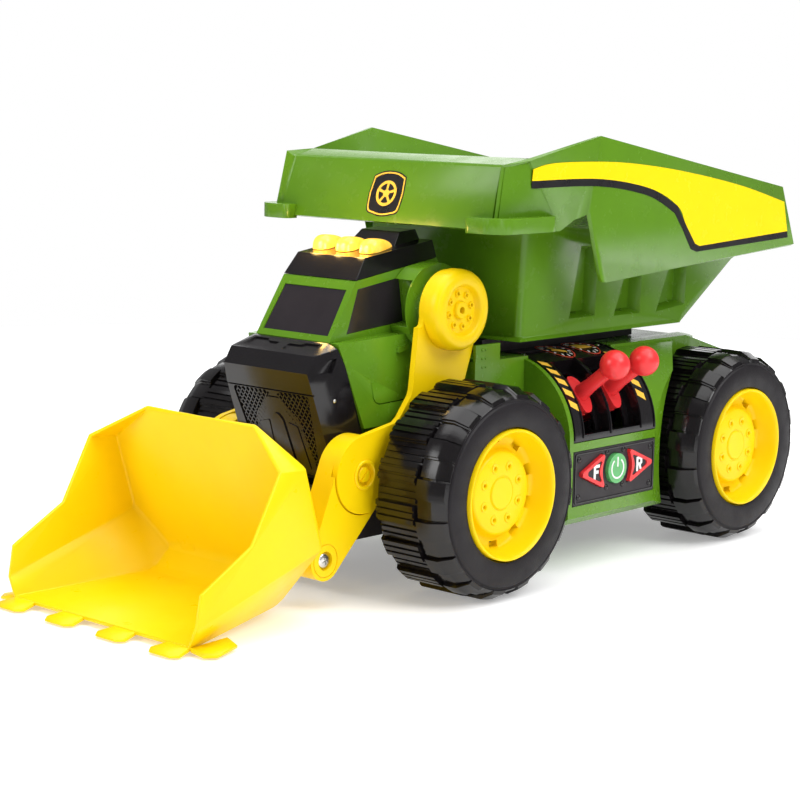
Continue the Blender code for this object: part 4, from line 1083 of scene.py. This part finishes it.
def grille_mesh():
    """Crossed bars in the grille's upper corners beside a smooth tapered shield."""
    bars = []

    def inside(u, v):
        return abs(u) < 24.2 + v * 0.12 and 2 < v < 53.6 and abs(u) > 4 + (52 - v) * 0.42

    for lean in (1, -1):
        for number in range(-10, 30):
            offset = number * 4.4
            run = [(t * 0.5 - 31, offset + lean * (t * 0.5 - 31) * 1.25) for t in range(125)]
            kept = [point for point in run if inside(*point)]
            groups, last = [], None
            for point in kept:
                if last is None or abs(point[0] - last[0]) > 0.6:
                    groups.append([])
                groups[-1].append(point)
                last = point
            for group in groups:
                if len(group) < 3:
                    continue
                start, end = Vector(group[0]), Vector(group[-1])
                wide = (end - start).orthogonal().normalized() * 0.42
                outline = [tuple(p) for p in (start - wide, end - wide, end + wide, start + wide)]
                bars.append(in_plane(plate_mesh(outline, -1.5, -0.65, view="top"), FACE_FOOT, FACE_UP))
    dress(gather("grille_mesh", bars), "chassis", BLACK)
    plates = []
    for outline, low, high in (
        ([(-5, 50), (5, 50), (17.5, 38), (23, 3), (-23, 3), (-17.5, 38)], -1.5, -0.7),
        ([(-4.5, 36), (-1.6, 40), (1.6, 40), (4.5, 36), (6.5, 4), (-6.5, 4)], -1.0, 0.1),
        ([(-15, 33), (-7.5, 35), (-9.5, 5), (-17.5, 5)], -1.0, -0.2),
        ([(15, 33), (7.5, 35), (9.5, 5), (17.5, 5)], -1.0, -0.2),
    ):
        bm = plate_mesh(rounded(outline, 1.5), low, high, view="top")
        plates.append(in_plane(bm, FACE_FOOT, FACE_UP))
    dress(soften(gather("grille_shield", plates), 0.25), "chassis", BLACK)
    heads = [rivet((side * 39.0, -68.3, 114.2), 1.2, 0.7, side=side) for _, side in SIDES]
    dress(gather("nose_side_rivets", heads), "chassis", STEEL, smooth=50)


# ---------------------------------------------------------------- hull

HULL_X, HULL_TOP, POD_X = 60.0, 130.0, 97.0
LEVER_PIVOT = (47.0, 80.0)
ARC_RADIUS = 50.0
POD_Y = (75.0, 238.0)
CONSOLE_Y = (79.0, 162.0)
WALL = 2.5


def pod_outline(inset, inner):
    """A side pod seen from the front: a flat foot and a quarter-round shoulder."""
    x, low = POD_X - inset, 28 + inset
    quarter = arc(LEVER_PIVOT, ARC_RADIUS - inset, 0, 90, 32)
    return [(inner, low), (88 - inset / 2, low), (x, 34 + inset / 2), *quarter, (inner - 10, quarter[-1][1])]


def pod(side, inset, inner, y_back, arch_x, flare):
    """One side pod with its wheel arch. flare is the plan of what its tail leaves away."""
    body = plate("pod", sided(pod_outline(inset, inner), side), POD_Y[0] + inset, y_back, view="front")
    arch = rod("arch", 66.8 + inset, *span(side, *arch_x), (REAR_Y, WHEEL_Z), steps=96)
    return cut(body, arch, plate("flare", sided(flare, side), 0, 200, view="top"))


def hull_shell():
    outline = [(29, 34.5), (29, HULL_TOP), (246, HULL_TOP), (290, 117), (292, 62), (288, 34.5)]
    inside = [(29 + WALL, 20), (29 + WALL, HULL_TOP - WALL), (245.5, HULL_TOP - WALL), (287.6, 115),
              (289.4, 62), (285.6, 20)]
    outer_flare = [(57, 260), (60.6, 251), (70, 227), (84, 198), (97.6, 160.6), (130, 156), (130, 260)]
    inner_flare = [(50, 260), (57.8, 248), (67.5, 225), (81.5, 196), (95, 158.4), (130, 154), (130, 260)]
    hull = plate("hull_moulded", outline, -HULL_X, HULL_X)
    rooms = []
    for _, side in SIDES:
        join(hull, pod(side, 0, 56, 256, (HULL_X + 0.3, 120), outer_flare))
        rooms.append(pod(side, WALL, 50, 250, (HULL_X - WALL, 125), inner_flare))
    cut(hull, plate("room", inside, -HULL_X + WALL, HULL_X - WALL), *rooms)
    y_low, y_high = CONSOLE_Y
    cut(hull, box("opening", (47.6, 110), (y_low - 0.35, y_high + 0.35), (80.2, 140)),
        box("opening", (80, 110), (y_low - 0.35, y_high + 0.35), (41.15, 75.05)),
        rod("bore", 3.8, -70, 70, (REAR_Y, WHEEL_Z)))
    for _, side in SIDES:
        ear = [*arc(BED_HINGE, 4.0, -20, 200, 24), (225, 129), (239, 129)]
        join(hull, plate("ear", ear, *span(side, 15, 19), holes=[circle(BED_HINGE, HINGE_BORE, 24)]))
        column = [(29.5, 128), (29.5, 140), (52, 140), (52, 128)]
        join(hull, plate("column", column, *span(side, 57.6, 59.8)))
    soften(hull, 0.8, 2)
    dress(hull, "chassis", GREEN, ["hull_shell"])
    studs = [rivet((side * 59.75, y, z), 0.9, 0.7, side=side)
             for _, side in SIDES for z in (137.0, 131.8, 126.6) for y in (35.4, 38.6)]
    dress(gather("hull_rivets", studs), "chassis", GREEN, smooth=50)


def paint_node(obj, material):
    obj.data.materials.clear()
    obj.data.materials.append(material)


# ---------------------------------------------------------------- console


def on_pivot(y, radius, degrees):
    """The place at a radius and an angle up from the levers' pivot."""
    x, z = polar(LEVER_PIVOT, radius, degrees)
    return Vector((x, y, z))


def band(outer, inner, start, end, steps):
    """An outline between two radii about the levers' pivot."""
    return arc(LEVER_PIVOT, outer, start, end, steps) + arc(LEVER_PIVOT, inner, end, start, steps)


def on_arc(bm, lift):
    """Bends a flat mesh of (y, height up the arc in degrees) onto the console's round face."""
    for vert in bm.verts:
        y, degrees, up = vert.co
        vert.co = on_pivot(y, ARC_RADIUS + lift + up, degrees)
    return bm


CHANNELS = ((89.0, 114.6), (117.4, 146.4))
CHANNEL_FLOOR = 41.0
ARC_END = 88.5
LEVER_Y = {"boom_lever": 105.0, "bed_lever": 135.0}
LEVER_ANGLE = 38.3


def console():
    """The rounded control panel: two deep channels for the levers, fine ridges and a flat top."""
    y_low, y_high = CONSOLE_Y
    skin = band(ARC_RADIUS, ARC_RADIUS - WALL, 0.9, ARC_END, 64)
    panel = plate("console_moulded", skin, y_low, y_high, view="front")
    block = band(ARC_RADIUS - 1, CHANNEL_FLOOR - 1.5, 3.0, 68.0, 48)
    join(panel, plate("block", block, 87.8, 147.6, view="front"))
    for start, end in CHANNELS:
        cut(panel, plate("channel", band(56, CHANNEL_FLOOR, 5.0, 66, 40), start, end, view="front"))
    for y in LEVER_Y.values():
        cut(panel, plate("slot", band(55, 36, 7, 64, 24), y - 6.2, y + 6.2, view="front"),
            plate("tunnel", band(44.9, 35, -2, 12, 12), y - 6.9, y + 6.9, view="front"))
    soften(panel, 0.5, 2)
    dress(panel, "chassis", BLACK, ["lever_console"])
    ridges = []
    for y, start, end in ((79.9, 2, 88), (88.3, 3, 68), (116.0, 3, 76), (147.2, 3, 76), (161.2, 2, 88)):
        strip = band(ARC_RADIUS + 0.7, ARC_RADIUS - 0.6, start, end, 40)
        ridges.append(plate_mesh(strip, y - 0.45, y + 0.45, view="front"))
    dress(gather("console_ridges", ridges), "chassis", BLACK)
    top = rounded([(34, 79.3), (48.6, 79.3), (48.6, 161.7), (34, 161.7)], 0.8)
    dress(soften(plate("console_top", top, 129.4, 130.5, view="top"), 0.3), "chassis", BLACK)
    screws = [rivet((52.5, y, 129.6), 1.7, 0.9) for y in (83.2, 157.8)]
    upright = Matrix.Rotation(math.radians(-84), 3, "Y")
    for bm in screws:
        centre = sum((v.co for v in bm.verts), Vector()) / len(bm.verts)
        bmesh.ops.rotate(bm, cent=centre, matrix=upright, verts=bm.verts[:])
    dress(gather("console_screws", screws), "chassis", STEEL, smooth=50)
    hazard_stripes()
    gauges()


def hazard_stripes():
    """Slanted amber bars along both edges of the console."""
    for name, y in (("front", 84.1), ("rear", 152.6)):
        bars = []
        for bar in range(5):
            foot = 22 + bar * 9.6
            outline = [(y - 3.4, foot + 4.6), (y - 3.4, foot + 9.8), (y + 3.4, foot + 5.2), (y + 3.4, foot)]
            bars.append(on_arc(plate_mesh(outline, 0, 0.12, view="top"), 0.04))
        dress(gather("hazard_stripes_" + name, bars), "chassis", PRINT_AMBER)


GAUGE_ICONS = (
    [(-5, -1), (-2, 0.8), (-0.5, 4.2), (2.2, 5.0), (3.2, 3.0), (1.2, 2.4), (0.8, 0.2), (4.4, -3.0), (3.0, -5),
     (-1.6, -2.0)],
    [(-5.8, -2.8), (-5.2, 3.2), (1.8, 4.0), (2.6, 1.4), (5.2, 1.0), (5.8, -2.8)],
)


def gauges():
    """Two printed dials at the console's top: a ring, ticks and a plain icon."""
    tick = [(6.6, -0.5), (8.2, -0.5), (8.2, 0.5), (6.6, 0.5)]
    degrees = math.degrees(1.5 / ARC_RADIUS)
    for number, y in enumerate((114.2, 140.4)):

        def flat(outline, holes=()):
            loops = [[(y + u * 1.08, 83.5 + v * degrees) for u, v in loop] for loop in (outline, *holes)]
            return on_console(plate_mesh(loops[0], 0, 0.14, view="top", holes=loops[1:]))

        ring = flat(circle((0, 0), 9.6), [circle((0, 0), 8.9)])
        dress(gather(f"gauge_ring_{number + 1}", [ring]), "chassis", PRINT_RED)
        ticks = [flat(turned_run(tick, 30 * step)) for step in range(12)]
        dress(gather(f"gauge_ticks_{number + 1}", ticks), "chassis", PRINT_WHITE)
        icon = flat(GAUGE_ICONS[number])
        dress(gather(f"gauge_icon_{number + 1}", [icon]), "chassis", PRINT_AMBER)


def on_console(bm):
    """Lays a flat print on the console's round face, and on its flat top past the end of the arc."""
    for vert in bm.verts:
        y, degrees, up = vert.co
        if degrees <= ARC_END:
            vert.co = on_pivot(y, ARC_RADIUS + 0.55 + up, degrees)
        else:
            vert.co = (48.3 - math.radians(degrees - ARC_END) * ARC_RADIUS, y, 130.54 + up)
    return bm


def leaf(y, angle):
    """The lever's curved foot: a leaf with round ends that slides in its channel."""
    outline = []
    for step in range(48):
        turn = 2 * math.pi * step / 48
        outline.append((y + 5.9 * signed_power(math.cos(turn), 0.75),
                        angle + 17.5 * signed_power(math.sin(turn), 0.9)))
    bm = plate_mesh(outline, 0, 6.5, view="top")
    for station in range(-4, 5):
        slice_mesh(bm, (0, angle + station * 4, 0), (0, 1, 0))
    for vert in bm.verts:
        across, degrees, up = vert.co
        vert.co = on_pivot(across, 37.2 + up, degrees)
    return placed("leaf", bm)


def levers():
    """Red levers: a hub on the shaft, a leaf in the channel, a stick and a ball."""
    for name, y in LEVER_Y.items():
        sector = (arc(LEVER_PIVOT, 37, LEVER_ANGLE - 18, LEVER_ANGLE + 18, 24)
                  + arc(LEVER_PIVOT, 5.5, LEVER_ANGLE + 43, LEVER_ANGLE + 317, 24))
        hole = circle(LEVER_PIVOT, 2.85, 24)
        piece = plate(name + "_moulded", sector, y - 4.2, y + 4.2, view="front", holes=[hole])
        join(piece, leaf(y, LEVER_ANGLE))
        knob = [(0, 75.3 + 9.3), *[polar((0, 75.3), 9.3, a) for a in range(84, -61, -6)]]
        knob += [(4.6, 66.6), (4.4, 64), (4.5, 52), (5.2, 45), (5.2, 36), (0, 36)]
        bm = turned_mesh(knob, (0, 0), 1, 48)
        aim = Matrix.Rotation(math.radians(-LEVER_ANGLE), 4, "Y")
        bm.transform(Matrix.Translation((LEVER_PIVOT[0], y, LEVER_PIVOT[1])) @ aim)
        join(piece, placed("stick", bm))
        soften(piece, 0.6, 2)
        dress(piece, name + "_body", RED, [name], 40)


# ---------------------------------------------------------------- buttons

BUTTON_Z = 60.5


def triangle(tip_y, base_y, half_height, inset):
    """A button's triangle with round corners and a bowed base."""
    direction = 1 if tip_y > base_y else -1
    tip, base = tip_y - direction * inset * 1.9, base_y + direction * inset
    half = half_height - inset * 1.35
    belly = [(base + direction * 2.2 * math.cos(math.pi * t / 12), BUTTON_Z + half * 0.8 * t / 6)
             for t in range(-6, 7)]
    corners = [(base, BUTTON_Z + half), (tip, BUTTON_Z + 1.2), (tip, BUTTON_Z - 1.2), (base, BUTTON_Z - half)]
    return belly + rounded(corners, 2.4)[2:-2]


def buttons():
    """The riveted plate and its three push buttons."""
    y_low, y_high = CONSOLE_Y
    face = rounded([(y_low, 41.5), (y_high, 41.5), (y_high, 74.7), (y_low, 74.7)], 2.0)
    shapes = {
        "forward_button": lambda inset: triangle(84.6, 108.0, 11.5, inset),
        "power_button": lambda inset: circle((120.5, BUTTON_Z), 9.8 - inset, 64),
        "reverse_button": lambda inset: triangle(157.3, 132.8, 11.5, inset),
    }
    holes = [shape(0) for shape in shapes.values()]
    face = soften(plate("button_plate_moulded", face, 94.5, 97.2, holes=holes), 0.5, 2)
    dress(face, "chassis", CHARCOAL, ["button_plate"])
    for name, shape in shapes.items():
        material = GREEN_LENS if name == "power_button" else RED
        button = plate(name + "_cap", shape(0.5), 89.2, 99.5)
        if name != "power_button":
            cut(button, plate("recess", shape(3.2), 98.7, 101))
        soften(button, 0.7, 3)
        dress(button, name + "_body", material, [name])
    border, hem = (
        rounded([(y_low + inset, 41.4 + inset), (y_high - inset, 41.4 + inset),
                 (y_high - inset, 74.8 - inset), (y_low + inset, 74.8 - inset)], radius)
        for inset, radius in ((1.2, 2.0), (2.0, 1.6)))
    frame_line = plate("button_plate_rim", border, 97.0, 97.8, holes=[hem])
    dress(soften(frame_line, 0.25), "chassis", BLACK)
    spots = [(y_low + 5.2, 46.6), (y_low + 5.2, 69.6), (y_high - 5.2, 46.6), (y_high - 5.2, 69.6),
             (112.2, 49.4), (112.2, 71.0), (128.8, 49.4), (128.8, 71.0)]
    heads = gather("button_plate_rivets", [rivet((97.1, y, z), 1.9, 1.2) for y, z in spots])
    dress(heads, "chassis", BLACK, smooth=50)
    for name in ("forward_button", "reverse_button"):
        insert = plate(name + "_insert", shapes[name](3.4), 98.2, 98.95)
        dress(insert, name + "_body", CHARCOAL)
    letters()


def letters():
    """Generic drive marks: F, R and the power sign."""
    z = BUTTON_Z
    f_shape = [(0, -5), (2.2, -5), (2.2, -1.0), (5.2, -1.0), (5.2, 1.2), (2.2, 1.2), (2.2, 2.9), (6.4, 2.9),
               (6.4, 5), (0, 5)]
    r_shape = [(0, -5), (2.1, -5), (2.1, -1.2), (2.9, -1.2), (4.6, -5), (6.9, -5), (4.9, -1.0), (6.6, 0.4),
               (6.6, 3.6), (5.2, 5), (0, 5)]
    r_hole = [(2.1, 0.8), (4.0, 0.8), (4.5, 1.3), (4.5, 2.6), (4.0, 3.1), (2.1, 3.1)]
    place = lambda shape, y: [(y + u * 0.92, z + v * 0.92) for u, v in shape]
    mark = plate("forward_mark", place(f_shape, 96.8), 98.9, 99.15)
    dress(mark, "forward_button_body", PRINT_WHITE)
    mark = plate("reverse_mark", place(r_shape, 140.6), 98.9, 99.15, holes=[place(r_hole, 140.6)])
    dress(mark, "reverse_button_body", PRINT_WHITE)
    centre = (120.5, z)
    ring = arc(centre, 6.6, 125, 415, 40) + arc(centre, 5.5, 415, 125, 40)
    bar = [(119.9, z + 1.0), (121.1, z + 1.0), (121.1, z + 7.2), (119.9, z + 7.2)]
    sign = gather("power_mark", [plate_mesh(ring, 99.4, 99.65), plate_mesh(bar, 99.4, 99.65)])
    dress(sign, "power_button_body", PRINT_WHITE)


# ---------------------------------------------------------------- inner nodes that stay


def inner_nodes():
    """Gives every CAD node that stays the material of its slot."""
    looks = {
        "steel": STEEL, "white_nylon": NYLON, "board_green": BOARD, "battery_wrap": CELL,
        "charcoal_plastic": CHARCOAL, "green_plastic": GREEN, "yellow_plastic": YELLOW, "black_gloss": BLACK,
        "red_plastic": RED, "tyre_black": TREAD, "button_green": GREEN_LENS, "tinted_glass": GLASS,
        "amber_lens": AMBER,
    }
    for entry in frame["record"]["subparts"]:
        node = frame["nodes"][entry["node"]]
        paint_node(node, looks[entry["material_slot"]])


# ---------------------------------------------------------------- stage


def camera():
    """At the angle that shows the bucket, the left side and the console."""
    azimuth, elevation, roll = (math.radians(a) for a in (42.408, 8.685, 1.055))
    level = math.cos(elevation)
    back = Vector((math.sin(azimuth) * level, -math.cos(azimuth) * level, math.sin(elevation)))
    right = Vector((math.cos(azimuth), math.sin(azimuth), 0))
    up = back.cross(right)
    across = right * math.cos(roll) + up * math.sin(roll)
    upward = up * math.cos(roll) - right * math.sin(roll)
    data = bpy.data.cameras.new("camera")
    data.lens, data.sensor_width = 92.632, 36
    data.clip_start, data.clip_end = 0.01, 50
    obj = new_object("camera", data)
    place = Vector((842.51, -893.22, 291.44)) * MM + SHIFT
    obj.matrix_world = Matrix.Translation(place) @ Matrix((across, upward, back)).transposed().to_4x4()
    bpy.context.scene.camera = obj


def area_light(name, place, target, size, power):
    data = bpy.data.lights.new(name, "AREA")
    data.shape = "RECTANGLE"
    data.size, data.size_y = size
    data.energy = power
    obj = new_object(name, data)
    obj.location = place
    obj.rotation_mode = "QUATERNION"
    obj.rotation_quaternion = (Vector(target) - Vector(place)).to_track_quat("-Z", "Y")


def studio():
    """A pale floor disc, a white backdrop, soft lights and the glow of the lamps."""
    bm = bmesh.new()
    bmesh.ops.create_circle(bm, cap_ends=True, radius=1.25, segments=96)
    floor = mesh_object("floor", bm)
    floor.location.z = -0.0002
    material, tree, shader = node_material("pale_floor")
    cloud = noise(tree, object_coords(tree), 3, 2)
    tree.links.new(ramp(tree, cloud, 0.62, 0.7), shader.inputs["Roughness"])
    set_inputs(shader, Base_Color=(0.86, 0.86, 0.86, 1), Specular_IOR_Level=0.1,
               Emission_Color=(1, 1, 1, 1), Emission_Strength=0.3)
    floor.data.materials.append(material)
    world = bpy.data.worlds.new("studio")
    world.use_nodes = True
    tree = world.node_tree
    soft = set_inputs(tree.nodes["Background"], Color=(0.98, 0.98, 1.0, 1), Strength=0.26)
    white = new_node(tree, "Background", Color=(1, 1, 1, 1), Strength=1.0)
    path, mix = new_node(tree, "LightPath"), new_node(tree, "MixShader")
    tree.links.new(path.outputs["Is Camera Ray"], mix.inputs["Fac"])
    tree.links.new(soft.outputs["Background"], mix.inputs[1])
    tree.links.new(white.outputs["Background"], mix.inputs[2])
    tree.links.new(mix.outputs["Shader"], tree.nodes["World Output"].inputs["Surface"])
    bpy.context.scene.world = world
    bpy.context.scene.view_settings.view_transform = "Standard"
    area_light("key_front", (-0.5, -2.1, 1.2), (0, 0, 0.1), (1.2, 1.0), 20)
    area_light("key_side", (2.0, 0.3, 1.9), (0, 0, 0.12), (1.5, 1.2), 34)
    area_light("strip", (2.3, -1.2, 0.7), (0, 0, 0.15), (0.22, 1.6), 8)
    area_light("top", (0.0, 0.3, 2.4), (0, 0, 0.1), (3.2, 3.2), 80)
    area_light("rim", (-1.6, 2.0, 0.9), (0, 0, 0.15), (2.4, 1.0), 12)
    for x in (-18.2, 0.0, 18.2):
        glow = bpy.data.lights.new("beacon_glow", "POINT")
        glow.energy, glow.color, glow.shadow_soft_size = 0.05, (1.0, 0.62, 0.16), 0.006
        new_object("beacon_glow", glow).location = Vector((x, -31, 199)) * MM + SHIFT


inner_nodes()
wheels()
loader_arms()
loader_links()
bucket()
dump_bed()
bed_stickers()
cab()
cab_roof()
beacons()
nose()
hull_shell()
console()
levers()
buttons()
camera()
studio()

bpy.context.view_layer.update()
